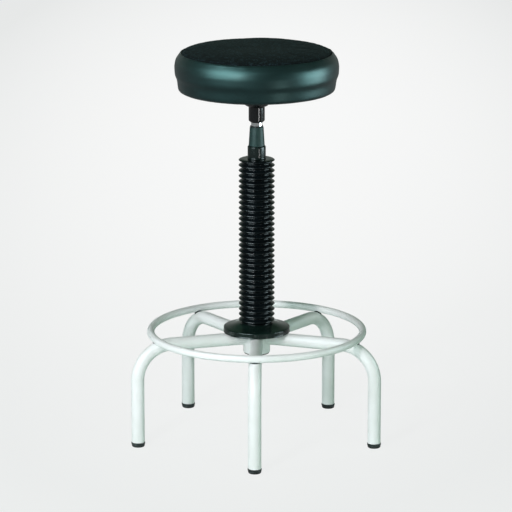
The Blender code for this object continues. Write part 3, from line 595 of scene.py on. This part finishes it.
bellows = {
    "ribs": 31,
    "pitch": 11.81,
    "firstRib": 6.7,
    "peak": 39.0,
    "valley": 31.2,
    "wall": 1.3,
    # How far in from the peak, and how high as a share of the pitch
    "flank": (
        (0.03, 0.011), (0.34, 0.05), (1.1, 0.11), (2.3, 0.178), (3.9, 0.258),
        (5.6, 0.348), (6.9, 0.422), (7.6, 0.474), (7.8, 0.5),
    ),
    "cuff": 33.8,
    "bore": 29.5,
    "topWall": 2.5,
    "hole": 17.3,
    "sides": 112,
}
bellowsLow, bellowsHigh = heights("bellows")
firstRib = bellowsLow + bellows["firstRib"]
lastRib = firstRib + (bellows["ribs"] - 1) * bellows["pitch"]


def ribMesh():
    # One rib from root to root: the outer skin, and a plain inner skin that follows it
    pitch, root = bellows["pitch"], bellows["valley"] - bellows["wall"]
    flank = [Vector((bellows["peak"] - inset, share * pitch)) for inset, share in bellows["flank"]]
    outer = [Vector((point.x, -point.y)) for point in flank[::-1]] + flank
    crest = bellows["peak"] - 1.5 * bellows["wall"]
    inner = [Vector(point) for point in ((root, -pitch / 2), (crest, 0), (root, pitch / 2))]
    bm = bmesh.new()
    for line, inside in ((outer, False), (inner, True)):
        skinned(bm, turned(bm, line, bellows["sides"]), inside=inside)
    return toMesh(bm, "rib", 0, False)


tree, given = newTree("bellowsRibs", {
    "Rib": "Object", "Ribs": "Int", "Pitch": "Float", "First Height": "Float", "Rubber": "Material",
})
start = addNode(tree, "ShaderNodeCombineXYZ", {2: given["First Height"]})
offset = addNode(tree, "ShaderNodeCombineXYZ", {2: given["Pitch"]})
line = addNode(tree, "GeometryNodeMeshLine", {"Count": given["Ribs"], "Start Location": start, "Offset": offset})
shape = addNode(tree, "GeometryNodeObjectInfo", {"Object": given["Rib"]}, "Geometry")
copies = addNode(tree, "GeometryNodeInstanceOnPoints", {"Points": line, "Instance": shape})
real = addNode(tree, "GeometryNodeRealizeInstances", {0: copies})
welded = addNode(tree, "GeometryNodeMergeByDistance", {"Distance": 0.01 * mm, "Geometry": real})
endTree(tree, welded, given["Rubber"])
rib = addObject("rib", ribMesh())
ribs = grown("bellowsRibs", tree, {
    "Rib": rib,
    "Ribs": bellows["ribs"],
    "Pitch": bellows["pitch"] * mm,
    "First Height": firstRib * mm,
    "Rubber": rubber,
})
bpy.data.objects.remove(rib)
# The ribs reach from the cuff on the skirt to the top on the collar: cut just under the top and closed at both ends
ribFoot = firstRib - bellows["pitch"] / 2
ribTop = lastRib - 1.1
bm = bmesh.new()
bm.from_mesh(ribs)
everything = list(bm.verts) + list(bm.edges) + list(bm.faces)
bmesh.ops.bisect_plane(bm, geom=everything, plane_co=(0, 0, ribTop * mm), plane_no=(0, 0, 1), clear_outer=True)
for height in (ribFoot, ribTop):
    rim = [edge for edge in bm.edges if edge.is_boundary and abs(edge.verts[0].co.z - height * mm) < 1e-5]
    bmesh.ops.bridge_loops(bm, edges=rim)
bmesh.ops.recalc_face_normals(bm, faces=bm.faces)
bm.to_mesh(ribs)
bm.free()
bellowsPiece = piece("bellowsRibs", ribs, "base", None, ["bellows"])
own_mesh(bellowsPiece)
print("bellows", len(ribs.polygons), "faces")

peak, cuff, bore = bellows["peak"], bellows["cuff"], bellows["bore"]
cuffTop = firstRib - (peak - cuff)
turnedPiece("bellowsCuff", [
    (bore, bellowsLow, 0.4), (cuff, bellowsLow, 0.5), (cuff, cuffTop - 0.4, 0.6),
    (cuff - 1.6, cuffTop, 0.3), (bore, cuffTop, 0.3),
], "base", rubber, "bellows_rubber", (), bellows["sides"])
topUnder = bellowsHigh - bellows["topWall"]
turnedPiece("bellowsTop", [
    (bellows["hole"], topUnder, 0.4), (peak - 6.5, topUnder, 0.4), (peak - 2.8, ribTop + 0.1, 0.3),
    (peak - 0.7, ribTop + 0.1, 0.3), (peak + 0.2, ribTop + 0.9, 0.7), (peak - 2.4, ribTop + 2.9, 1.6),
    (peak - 8.5, bellowsHigh, 2.5), (bellows["hole"], bellowsHigh, 0.4),
], "collar", rubber, "bellows_rubber", (), bellows["sides"])

# Collar, sleeve and wiper end a little lower than their solids, as the photographed ones do
ends = {"collar": 2.5, "sleeve": 3.0, "wiper": 3.0}
collarLow, collarHigh = heights("collar")
collarFace, collarTop = bellowsHigh + 0.3, collarHigh - ends["collar"]
turnedPiece("collarBarrel", [
    (13.5, collarLow, 0.3), (17.0, collarLow, 0.5), (17.0, collarFace), (19.8, collarFace, 0.5),
    (19.8, collarFace + 2.2, 0.4), (19.3, collarFace + 2.7, 0.3), (19.6, collarFace + 3.2, 0.3),
    (19.6, collarTop - 1.6, 0.7), (18.2, collarTop, 0.6), (15.0, collarTop, 0.3),
    (15.0, collarLow + 2.5), (13.5, collarLow + 2.5),
], "collar", acetal, "collar_plastic", ["collar"])

sleeveLow, sleeveHigh = heights("sleeve")
sleeveTop = sleeveHigh - ends["sleeve"]
turnedPiece("taperSleeve", [
    (12.3, sleeveLow, 0.3), (14.7, sleeveLow, 0.4), (14.7, collarTop + 0.3),
    (17.3, collarTop + 0.3, 0.6), (17.2, collarTop + 2.6, 0.5), (14.9, sleeveTop - 1.1, 0.5),
    (14.3, sleeveTop, 0.4), (12.3, sleeveTop, 0.2),
], "collar", nylonSleeve, "sleeve_plastic", ["sleeve"])

wiperLow, wiperHigh = [height - ends["wiper"] for height in heights("wiper_ring")]
turnedPiece("wiperSeal", [
    (12.3, wiperLow), (13.9, wiperLow, 0.6), (13.9, wiperHigh - 0.2, 0.7), (12.9, wiperHigh, 0.3),
    (12.3, wiperHigh - 0.7, 0.2),
], "collar", nitrile, "wiper_rubber", ["wiper_ring"])

spindleLow, spindleHigh = heights("spindle")
turnedPiece("spindleRod", [
    (0, spindleLow), (12.0, spindleLow, 1.2), (12.0, spindleHigh, 0.8), (5.3, spindleHigh, 0.3),
    (5.3, spindleHigh - 24.0), (0, spindleHigh - 26.0),
], "seat", chrome, "chromed_steel", ["spindle"])

plugLow, plugHigh = heights("hub_plug")
plugFace = hub["bottom"] - 0.3
turnedPiece("hubPlug", [
    (0, plugLow + 0.5), (9.0, plugLow + 0.5, 0.6), (10.5, plugLow, 0.5), (27.5, plugLow, 0.9),
    (27.5, plugFace, 0.4), (21.7, plugFace), (21.7, plugHigh, 0.5), (19.7, plugHigh, 0.3),
    (19.7, plugFace), (0, plugFace),
], "base", polythene, "foot_plastic", ["hub_plug"])
print("column made")

# Cast hub under the seat, with four drafted webs
cast = {"barrelHeight": 34.2, "flangeThick": 4.5, "webThick": 5.0, "webReach": 66.0, "webs": 4, "round": 1.0}
castLow, castHigh = heights("seat_hub")
barrelTop = castLow + cast["barrelHeight"]
flangeLow = castHigh - cast["flangeThick"]


def webMesh(turn):
    bm = bmesh.new()
    sides = []
    for hand in (-1, 1):
        sides.append([])
        for outward, height in (
            (24.0, barrelTop + 6.9),
            (30.0, barrelTop + 8.0),
            (52.0, flangeLow - 7.5),
            (cast["webReach"], flangeLow - 1.6),
            (cast["webReach"], flangeLow + 2.0),
            (24.0, flangeLow + 2.0),
        ):
            draft = 0.5 * cast["webThick"] * (0.8 + 0.35 * (height - barrelTop) / (flangeLow - barrelTop))
            sides[-1].append(bm.verts.new(spotAt(turn, outward, hand * draft, height)))
        bm.faces.new(sides[-1][::hand])
    skinned(bm, sides)
    bmesh.ops.recalc_face_normals(bm, faces=bm.faces)
    low = [edge for edge in bm.edges if all(spot.co.z < (flangeLow - 1.0) * mm for spot in edge.verts)]
    bmesh.ops.bevel(bm, geom=low, offset=cast["round"] * mm, segments=3, affect="EDGES", profile=0.5)
    return toMesh(bm, "web")


castHub = addObject("castHub", lathed("castHub", [
    (12.3, castLow - 2.9, 0.3), (13.3, castLow - 2.9, 0.3), (17.4, castLow + 0.8, 1.2),
    (17.4, barrelTop - 3.9, 1.0), (18.3, barrelTop - 3.1, 0.8), (24.2, barrelTop - 0.4, 1.6),
    (29.0, barrelTop + 5.4, 1.6), (31.0, flangeLow - 6.0, 3.0), (37.5, flangeLow, 4.0),
    (75.0, flangeLow, 1.1), (75.0, castHigh, 0.5), (9.0, castHigh, 0.3), (9.0, castHigh - 8.5),
    (5.3, castHigh - 8.5), (5.3, castHigh - 22.7), (12.3, castHigh - 22.7),
], 128))
webTurns = [tau * (index + 0.5) / cast["webs"] for index in range(cast["webs"])]
castMesh = combined(castHub, [addObject("web", webMesh(turn)) for turn in webTurns], "UNION")
castMesh.shade_smooth()
castMesh.set_sharp_from_angle(angle=radians(32))
piece("castHub", castMesh, "seat", blackEnamel, ["seat_hub"])

# Copies of one piece on a circle about the column, each turned a little off true
tree, given = newTree("setRoundCircle", {
    "Piece": "Object", "Count": "Int", "Radius": "Float", "Height": "Float",
    "Loose Turn": "Float", "Seed": "Int", "Metal": "Material",
})
circle = addNode(tree, "GeometryNodeMeshCircle", {"Vertices": given["Count"], "Radius": given["Radius"]})
centre = addNode(tree, "ShaderNodeCombineXYZ", {0: columnX * mm, 1: columnY * mm, 2: given["Height"]})
placed = addNode(tree, "GeometryNodeSetPosition", {"Geometry": circle, "Offset": centre})
share = maths(tree, "DIVIDE", addNode(tree, "GeometryNodeInputIndex"), given["Count"])
loose = addNode(tree, "FunctionNodeRandomValue", {"data_type": "FLOAT", "Seed": given["Seed"]}, 1)
turn = maths(tree, "MULTIPLY_ADD", loose, given["Loose Turn"], maths(tree, "MULTIPLY", share, tau))
way = addNode(tree, "ShaderNodeCombineXYZ", {2: turn})
shape = addNode(tree, "GeometryNodeObjectInfo", {"Object": given["Piece"]}, "Geometry")
copies = addNode(tree, "GeometryNodeInstanceOnPoints", {"Points": placed, "Instance": shape, "Rotation": way})
endTree(tree, copies, given["Metal"])
circleTree = tree


def setRound(name, shape, values):
    pattern = addObject("pattern", shape)
    made = grown(name, circleTree, {"Piece": pattern, **values})
    bpy.data.objects.remove(pattern)
    return made


# Pan head screw with a cross recess
screw = {"head": 5.8, "rise": 3.6, "shank": 3.0, "length": 14.5, "recess": 4.4, "slot": 1.1, "depth": 1.9, "sharp": 35}
head = addObject("panHead", lathed("panHead", [
    (0, -screw["rise"]), (3.4, -screw["rise"], 1.2), (screw["head"], -1.5, 1.1),
    (screw["head"], -0.2, 0.2), (screw["shank"], -0.2), (screw["shank"], screw["length"] - 2.0, 0.5),
    (0, screw["length"]),
], 32, (0, 0)))
bm = bmesh.new()
for turn in (0, pi / 2):
    arm = bmesh.ops.create_cube(bm, size=1)["verts"]
    for spot in arm:
        narrow, thin = (0.62, 0.7) if spot.co.z > 0 else (1.0, 1.0)
        spot.co = Vector((
            spot.co.x * 2 * screw["recess"] / 1.25 * narrow,
            spot.co.y * screw["slot"] * thin,
            spot.co.z * 2 * screw["depth"] - screw["rise"],
        )) * mm
    bmesh.ops.rotate(bm, verts=arm, matrix=Matrix.Rotation(turn, 3, "Z"))
screwMesh = combined(head, [addObject("recess", toMesh(bm, "recess"))], "DIFFERENCE", True)
screwMesh.set_sharp_from_angle(angle=radians(screw["sharp"]))
screws = setRound("seatScrews", screwMesh, {
    "Count": 4, "Radius": 60.0 * mm, "Height": flangeLow * mm, "Loose Turn": 1.5, "Seed": 3, "Metal": zinc,
})
screws.set_sharp_from_angle(angle=radians(screw["sharp"]))
piece("seatScrews", screws, "seat", None, [f"seat_screw_{index}" for index in range(1, 5)])
print("seat hub and screws made")

cushion = {
    "widest": 175.9,
    "seamRadius": 160.5,
    "height": 83.5,
    "crown": 10.9,
    "crownPower": 4.6,
    "rollDown": 7.0,
    "grooveDepth": 3.4,
    "panel": 1.8,
    "cover": 1.2,
    "hem": 132.0,
    "panelRings": 26,
    "sides": 180,
}
cloth = {"pressure": 4.0, "frames": 20, "slack": 0.006, "patch": 60, "cap": 5.0, "gain": 0.35, "seed": 11.0}
gathers = {"depth": 0.5, "spacing": 15, "reach": 8, "seed": 4.0}
coverLow, seamHeight = heights("side_cover")
seamRadius, panelEdge = cushion["seamRadius"], cushion["seamRadius"] - 0.3


def smoothLine(points, steps):
    # A smooth line through points (Catmull-Rom)
    points = [Vector(point) for point in points]
    points = [points[0] * 2 - points[1]] + points + [points[-1] * 2 - points[-2]]
    made = []
    for a, b, c, d in zip(points, points[1:], points[2:], points[3:]):
        for step in range(steps):
            t = step / steps
            square, cube = a * 2 - b * 5 + c * 4 - d, b * 3 - a - c * 3 + d
            made.append(0.5 * (b * 2 + (c - a) * t + square * t * t + cube * t ** 3))
    return made + [points[-2]]


def panelHeight(radius):
    share = min(1.0, radius / panelEdge)
    roll = max(0.0, 1 - (panelEdge - radius) / cushion["rollDown"])
    crown = cushion["crown"] * (1 - share ** cushion["crownPower"])
    return seamHeight + crown - cushion["grooveDepth"] * roll ** 2.5


def movedIn(line, depth):
    made = []
    for index, point in enumerate(line):
        way = (line[min(index + 1, len(line) - 1)] - line[max(index - 1, 0)]).normalized()
        made.append(Vector((point.x + depth * way.y, point.y - depth * way.x)))
    return made


panelTop = []
for step in range(cushion["panelRings"] + 1):
    radius = panelEdge * sin(pi / 2 * step / cushion["panelRings"])
    panelTop.append(Vector((radius, panelHeight(radius))))
# Over the piped edge: how far out from the seam, and how far down
overEdge = ((0.1, 4.3), (0.4, 3.0), (1.2, 2.2), (2.4, 2.5), (3.8, 3.9))
# Down the side: how far in from the widest place, and how far down as a share of the height
downSide = (
    (9.6, 0.075), (3.0, 0.195), (0.2, 0.335), (0.0, 0.45), (0.9, 0.58),
    (4.0, 0.685), (5.4, 0.76), (7.2, 0.915), (9.0, 0.972),
)
# Round under the board to the hem: radius, and how far up from the bottom
roundUnder = ((163.4, 1.5), (159.8, 0.2), (152.0, 0), (142.0, 0), (cushion["hem"], 0))
coverLine = smoothLine(
    [(seamRadius + out, seamHeight - down) for out, down in overEdge]
    + [(cushion["widest"] - inset, seamHeight - cushion["height"] * share) for inset, share in downSide]
    + [(radius, coverLow + up) for radius, up in roundUnder],
    4,
)


def simulatedSlack(profile, sides):
    # Blows up a copy of the cushion as cloth and gives how far each point of each ring ends off its ring's mean
    bm = bmesh.new()
    skinned(bm, turned(bm, profile, sides, (0, 0)))
    bmesh.ops.recalc_face_normals(bm, faces=bm.faces)
    mesh = plainMesh(bm, "cushionCloth")
    carrier = addObject("cushionCloth", mesh)
    held = carrier.vertex_groups.new(name="held")
    slack = carrier.vertex_groups.new(name="slack")
    for spot in mesh.vertices:
        place = spot.co / mm
        atSeam = abs(place.xy.length - seamRadius) < 1.0 and place.z > seamHeight - 8
        if atSeam or place.z < coverLow + 0.4:
            held.add([spot.index], 1.0, "REPLACE")
        grain = noise.noise(place / cloth["patch"] + Vector((cloth["seed"], 0, 0)))
        slack.add([spot.index], min(1.0, max(0.0, 0.5 + grain)), "REPLACE")
    settings = carrier.modifiers.new("cloth", "CLOTH").settings
    for key, value in {
        "quality": 6,
        "mass": 0.2,
        "tension_stiffness": 20,
        "compression_stiffness": 20,
        "bending_stiffness": 1.5,
        "use_pressure": True,
        "uniform_pressure_force": cloth["pressure"],
        "vertex_group_mass": "held",
        "vertex_group_shrink": "slack",
        "shrink_min": -cloth["slack"],
        "shrink_max": cloth["slack"],
    }.items():
        setattr(settings, key, value)
    settings.effector_weights.gravity = 0
    for frameNumber in range(1, cloth["frames"] + 1):
        scene.frame_set(frameNumber)
    places = [(spot.co.xy.length / mm, spot.co.z / mm) for spot in evaluatedMesh(carrier).vertices]
    scene.frame_set(1)
    bpy.data.objects.remove(carrier)
    made = []
    for ringPoint in profile:
        count = 1 if ringPoint.x < 1e-3 else sides
        spots, places = places[:count], places[count:]
        mean = [sum(parts) / count for parts in zip(*spots)]
        offs = [Vector((radius - mean[0], height - mean[1])) * cloth["gain"] for radius, height in spots]
        offs = [off * min(1, cloth["cap"] / max(off.length, cloth["cap"])) for off in offs]
        made.append(offs * (sides // count))
    return made


shellProfile = panelTop[:-1] + coverLine + [Vector((radius, coverLow)) for radius in (90, 45, 0)]
shellSlack = None
shellSlack = simulatedSlack(shellProfile, cushion["sides"])
furthest = max(off.length for row in shellSlack for off in row)
print("cushion blown up, furthest point off its ring", round(furthest, 2), "mm")


def slackAt(radius, height, side):
    # The simulated slack and the gathers along the seam, at a place on the cushion's section
    spot = Vector((radius, height))
    off = Vector((0, 0))
    if shellSlack:
        best = (inf, 0, 0.0)
        for index in range(len(shellProfile) - 1):
            first, run = shellProfile[index], shellProfile[index + 1] - shellProfile[index]
            share = min(1.0, max(0.0, (spot - first).dot(run) / max(run.length_squared, 1e-9)))
            away = (first + run * share - spot).length
            if away < best[0]:
                best = (away, index, share)
        away, index, share = best
        off = shellSlack[index][side] * (1 - share) + shellSlack[index + 1][side] * share
    angle = tau * side / cushion["sides"]
    around = Vector((cos(angle), sin(angle), 0)) * seamRadius / gathers["spacing"]
    pulled = noise.noise(around + Vector((0, 0, gathers["seed"])))
    fromSeam = (spot - Vector((seamRadius + 2.5, seamHeight))).length
    near = exp(-(fromSeam / gathers["reach"]) ** 2)
    return off + Vector((0.6, 0.8)) * pulled * near * gathers["depth"] * 2


def softened(mesh):
    # Moves the points of a turned cushion piece by the slack at their place
    known = {}
    for spot in mesh.vertices:
        x, y, height = spot.co / mm - Vector((columnX, columnY, 0))
        radius = hypot(x, y)
        if radius < 1e-3:
            continue
        side = round(atan2(y, x) / tau * cushion["sides"]) % cushion["sides"]
        key = (round(radius, 3), round(height, 3), side)
        if key not in known:
            known[key] = slackAt(radius, height, side)
        off = known[key]
        wider = 1 + off.x / radius
        spot.co = Vector((columnX + x * wider, columnY + y * wider, height + off.y)) * mm
    return mesh


def cushionPiece(name, section, material, node):
    shape = softened(lathed(name, section, cushion["sides"], sharp=60))
    piece(name, shape, "seat", material, [node])


panelUnder = [point - Vector((0, cushion["panel"])) for point in panelTop]
cushionPiece("topPanel", panelUnder + panelTop[::-1], fabric, "top_panel")
coverInner = movedIn(coverLine, cushion["cover"])
cushionPiece("sideCover", coverLine + coverInner[::-1], vinyl, "side_cover")
boardLow, boardHigh = heights("seat_board")
foamInset, foamLip = 0.4, 160.3  # under its covers, and past the board's edge
foamTop = [point - Vector((0, cushion["panel"] + foamInset)) for point in panelTop[:-1]]
foamSide = [
    point for point in movedIn(coverLine, cushion["cover"] + foamInset)[8:]
    if point.y > boardLow + 0.5 and point.x > foamLip + 0.1
]
foamUnder = [(foamLip, boardLow + 0.6), (foamLip, boardHigh + 0.3), (0, boardHigh + 0.3)]
cushionPiece("seatFoam", foamTop + foamSide + foamUnder, foam, "seat_foam")
print("cushion made")

# Dust cloth: a ring of cloth stapled under the hem, a little wavy between its staples
dust = {
    "inner": 80.0,
    "outer": 150.0,
    "thick": 0.6,
    "rings": 18,
    "sides": 144,
    "wave": 0.35,
    "waveLength": 38,
    "slackest": 95,
    "slackWidth": 50,
    "flat": (0.30, 0.30),
}
clothHigh = heights("base_cloth")[1]
clothLow = clothHigh - dust["thick"]
radii = [dust["inner"] + (dust["outer"] - dust["inner"]) * step / dust["rings"] for step in range(dust["rings"] + 1)]
clothSection = [(radius, clothLow) for radius in radii] + [(radius, clothHigh) for radius in radii[::-1]]
clothShape = lathed("dustCloth", clothSection, dust["sides"])
for spot in clothShape.vertices:
    radius = hypot(spot.co.x / mm - columnX, spot.co.y / mm - columnY)
    free = max(0.0, 1 - ((radius - dust["slackest"]) / dust["slackWidth"]) ** 2)
    spot.co.z -= dust["wave"] * mm * free * (1 + noise.noise(spot.co / mm / dust["waveLength"]))
clothPiece = piece("dustCloth", clothShape, "seat", dustCloth, ["base_cloth"])

staple = {"crown": 10.5, "wire": 0.9, "round": 0.25}
bm = bmesh.new()
bmesh.ops.create_cube(bm, size=1)
for spot in bm.verts:
    spot.co = Vector((spot.co.x * staple["wire"] * 0.7, spot.co.y * staple["crown"], spot.co.z * staple["wire"])) * mm
bmesh.ops.bevel(bm, geom=list(bm.edges), offset=staple["round"] * mm, segments=2, affect="EDGES", profile=0.5)
staples = setRound("hemStaples", toMesh(bm, "staple"), {
    "Count": 44, "Radius": 145.0 * mm, "Height": (clothLow - staple["wire"] * 0.3) * mm,
    "Loose Turn": 0.35, "Seed": 8, "Metal": zinc,
})
piece("hemStaples", staples, "seat", None)
print("dust cloth and staples made")

# CAD nodes that stay, with better finishes
for node, finish in {
    "guide_tube": oiledSteel,
    "lift_nut": bronze,
    "collar_bush": naturalNylon,
    "spindle_clip": oiledSteel,
    "bellows_retainer": acetal,
    "centre_screw": zinc,
    "seat_board": plywood,
}.items():
    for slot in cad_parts[node].material_slots:
        slot.material = finish


def clearedTree(owner):
    owner.use_nodes = True
    owner.node_tree.nodes.clear()
    return owner.node_tree


def seenDirectly(tree):
    # Whether the camera sees it, also through glass, and whether it shows in gloss
    rays = tree.nodes.new("ShaderNodeLightPath").outputs
    return maths(tree, "MAXIMUM", rays["Is Camera Ray"], rays["Is Transmission Ray"]), rays["Is Glossy Ray"]


# Seamless pale paper under and behind the stool. It glows for the camera as painted light, brightest on a line behind
# the stool and darker towards the sides, with a small share lit by the lamps so it keeps the stool's shadow
paperLook = {
    "radius": 40.0,
    "centreY": 3.6,
    "across": 14.6,
    "along": 1.1,
    "brightest": "#f7f7f7",
    "darkest": "#e6e7e7",
    "fall": 19.0,
    "own": 0.92,
    "mirrored": 0.34,
    "bounce": "#dcece3",
}
bm = bmesh.new()
bmesh.ops.create_circle(bm, cap_ends=True, segments=96, radius=paperLook["radius"])
floorMesh = plainMesh(bm, "floor")
paper = bpy.data.materials.new("matPaper")
tree = clearedTree(paper)
place = addNode(tree, "ShaderNodeTexCoord", output="Object")
x, y = (addNode(tree, "ShaderNodeSeparateXYZ", {0: place}, axis) for axis in (0, 1))
shift = maths(tree, "SUBTRACT", y, paperLook["centreY"])
along = maths(tree, "MULTIPLY", maths(tree, "MULTIPLY", shift, shift), paperLook["along"])
fall = maths(tree, "MULTIPLY_ADD", maths(tree, "MULTIPLY", x, x), paperLook["across"], along)
tone = patched(tree, fall, 0, paperLook["fall"], paperLook["brightest"], paperLook["darkest"])
seen, glossy = seenDirectly(tree)
mirrored = maths(tree, "MULTIPLY", glossy, paperLook["mirrored"])
strength = maths(tree, "MULTIPLY_ADD", seen, 1 / paperLook["own"], mirrored)
mixed = addNode(tree, "ShaderNodeMixShader", {
    0: maths(tree, "MULTIPLY_ADD", seen, paperLook["own"], glossy),
    1: addNode(tree, "ShaderNodeBsdfDiffuse", {"Color": paperLook["bounce"]}),
    2: addNode(tree, "ShaderNodeEmission", {"Color": tone, "Strength": strength}),
})
addNode(tree, "ShaderNodeOutputMaterial", {0: mixed})
floorMesh.materials.append(paper)
addObject("floor", floorMesh)

worldLook = {
    "fill": "#a6dcb8",
    "fillStrength": 0.165,
    "pale": "#e6e7e7",
    "backdrop": 0.4,
    "backdropTop": 0.5,
    "backdropFull": 0.16,
    "ceiling": 0.6,
}
world = bpy.data.worlds.new("studio")
scene.world = world
tree = clearedTree(world)
# Gloss sees the pale backdrop low down behind, and a dimmer ceiling overhead in front
way = addNode(tree, "ShaderNodeTexCoord", output="Generated")
wayY, wayZ = (addNode(tree, "ShaderNodeSeparateXYZ", {0: way}, axis) for axis in (1, 2))
lowDown = ranged(tree, wayZ, 1, 0, worldLook["backdropFull"], worldLook["backdropTop"])
backdrop = maths(tree, "MULTIPLY", lowDown, ranged(tree, wayY, 0, 1, 0.1, 0.5))
overhead = maths(tree, "MULTIPLY", ranged(tree, wayZ, 0, 1, 0.4, 0.6), ranged(tree, wayZ, 1, 0, 0.72, 0.88))
inFront = maths(tree, "MULTIPLY", overhead, ranged(tree, wayY, 1, 0, -0.1, 0.2))
either = maths(tree, "MAXIMUM", backdrop, maths(tree, "MULTIPLY", inFront, worldLook["ceiling"]))
seen, glossy = seenDirectly(tree)
mirrored = maths(tree, "MULTIPLY", maths(tree, "MULTIPLY", either, glossy), worldLook["backdrop"])
mixed = addNode(tree, "ShaderNodeMixShader", {
    0: maths(tree, "MAXIMUM", seen, mirrored),
    1: addNode(tree, "ShaderNodeBackground", {"Color": worldLook["fill"], "Strength": worldLook["fillStrength"]}),
    2: addNode(tree, "ShaderNodeBackground", {"Color": worldLook["pale"], "Strength": 1.0}),
})
addNode(tree, "ShaderNodeOutputWorld", {0: mixed})


def softBox(name, azimuth, height, distance, wide, tall, power, aim=0.5, tint="#ffffff", lights=True, mirrored=True):
    # Azimuth is from the front towards the viewer's right, in degrees, and the sizes here are in metres
    turn = radians(azimuth)
    data = bpy.data.lights.new(name, "AREA")
    data.shape, data.size, data.size_y, data.energy = "RECTANGLE", wide, tall, power
    data.color = linear(tint)[:3]
    lamp = addObject(name, data)
    column = Vector((columnX, columnY, 0)) * mm
    lamp.location = column + Vector((distance * sin(turn), -distance * cos(turn), height))
    lamp.rotation_euler = (column + Vector((0, 0, aim)) - lamp.location).to_track_quat("-Z", "Y").to_euler()
    lamp.visible_diffuse, lamp.visible_glossy = lights, mirrored


# The cards show in gloss only, and the top lamp and the fills light without showing in it
softBox("keyLamp", -26, 1.5, 2.6, 0.25, 0.25, 20, tint="#fff5fb")
softBox("topLamp", -26, 2.6, 2.6, 0.35, 0.9, 25, tint="#fff5fb", mirrored=False)
softBox("frontFill", -20, 0.6, 3.2, 0.9, 1.0, 23, tint="#fbf5ff", mirrored=False)
softBox("leftFill", -70, 1.0, 2.4, 1.2, 0.9, 18, tint="#f4faff", mirrored=False)
softBox("rightFill", 38, 0.9, 2.6, 1.0, 1.0, 15, tint="#f0fff8", mirrored=False)
softBox("leftCard", -44, 1.75, 2.0, 1.8, 2.0, 135, 0.9, "#e2faff", lights=False)
softBox("rightCard", 84, 0.78, 1.5, 1.0, 0.8, 31, 0.75, "#def9ff", lights=False)
softBox("stripCard", 34, 0.24, 1.6, 0.05, 0.36, 2.8, 0.24, lights=False)

cameraData = bpy.data.cameras.new("camera")
cameraData.lens = 221.7
cameraData.sensor_width = 36
cameraData.shift_x = -0.7 / 512
cameraData.clip_end = 200
camera = addObject("camera", cameraData)
camera.location = (0.10415, -6.6073, 2.0409)
camera.rotation_euler = (radians(76.1484), 0, radians(0.9))
scene.camera = camera
scene.view_settings.view_transform = "Standard"
print("stage set")
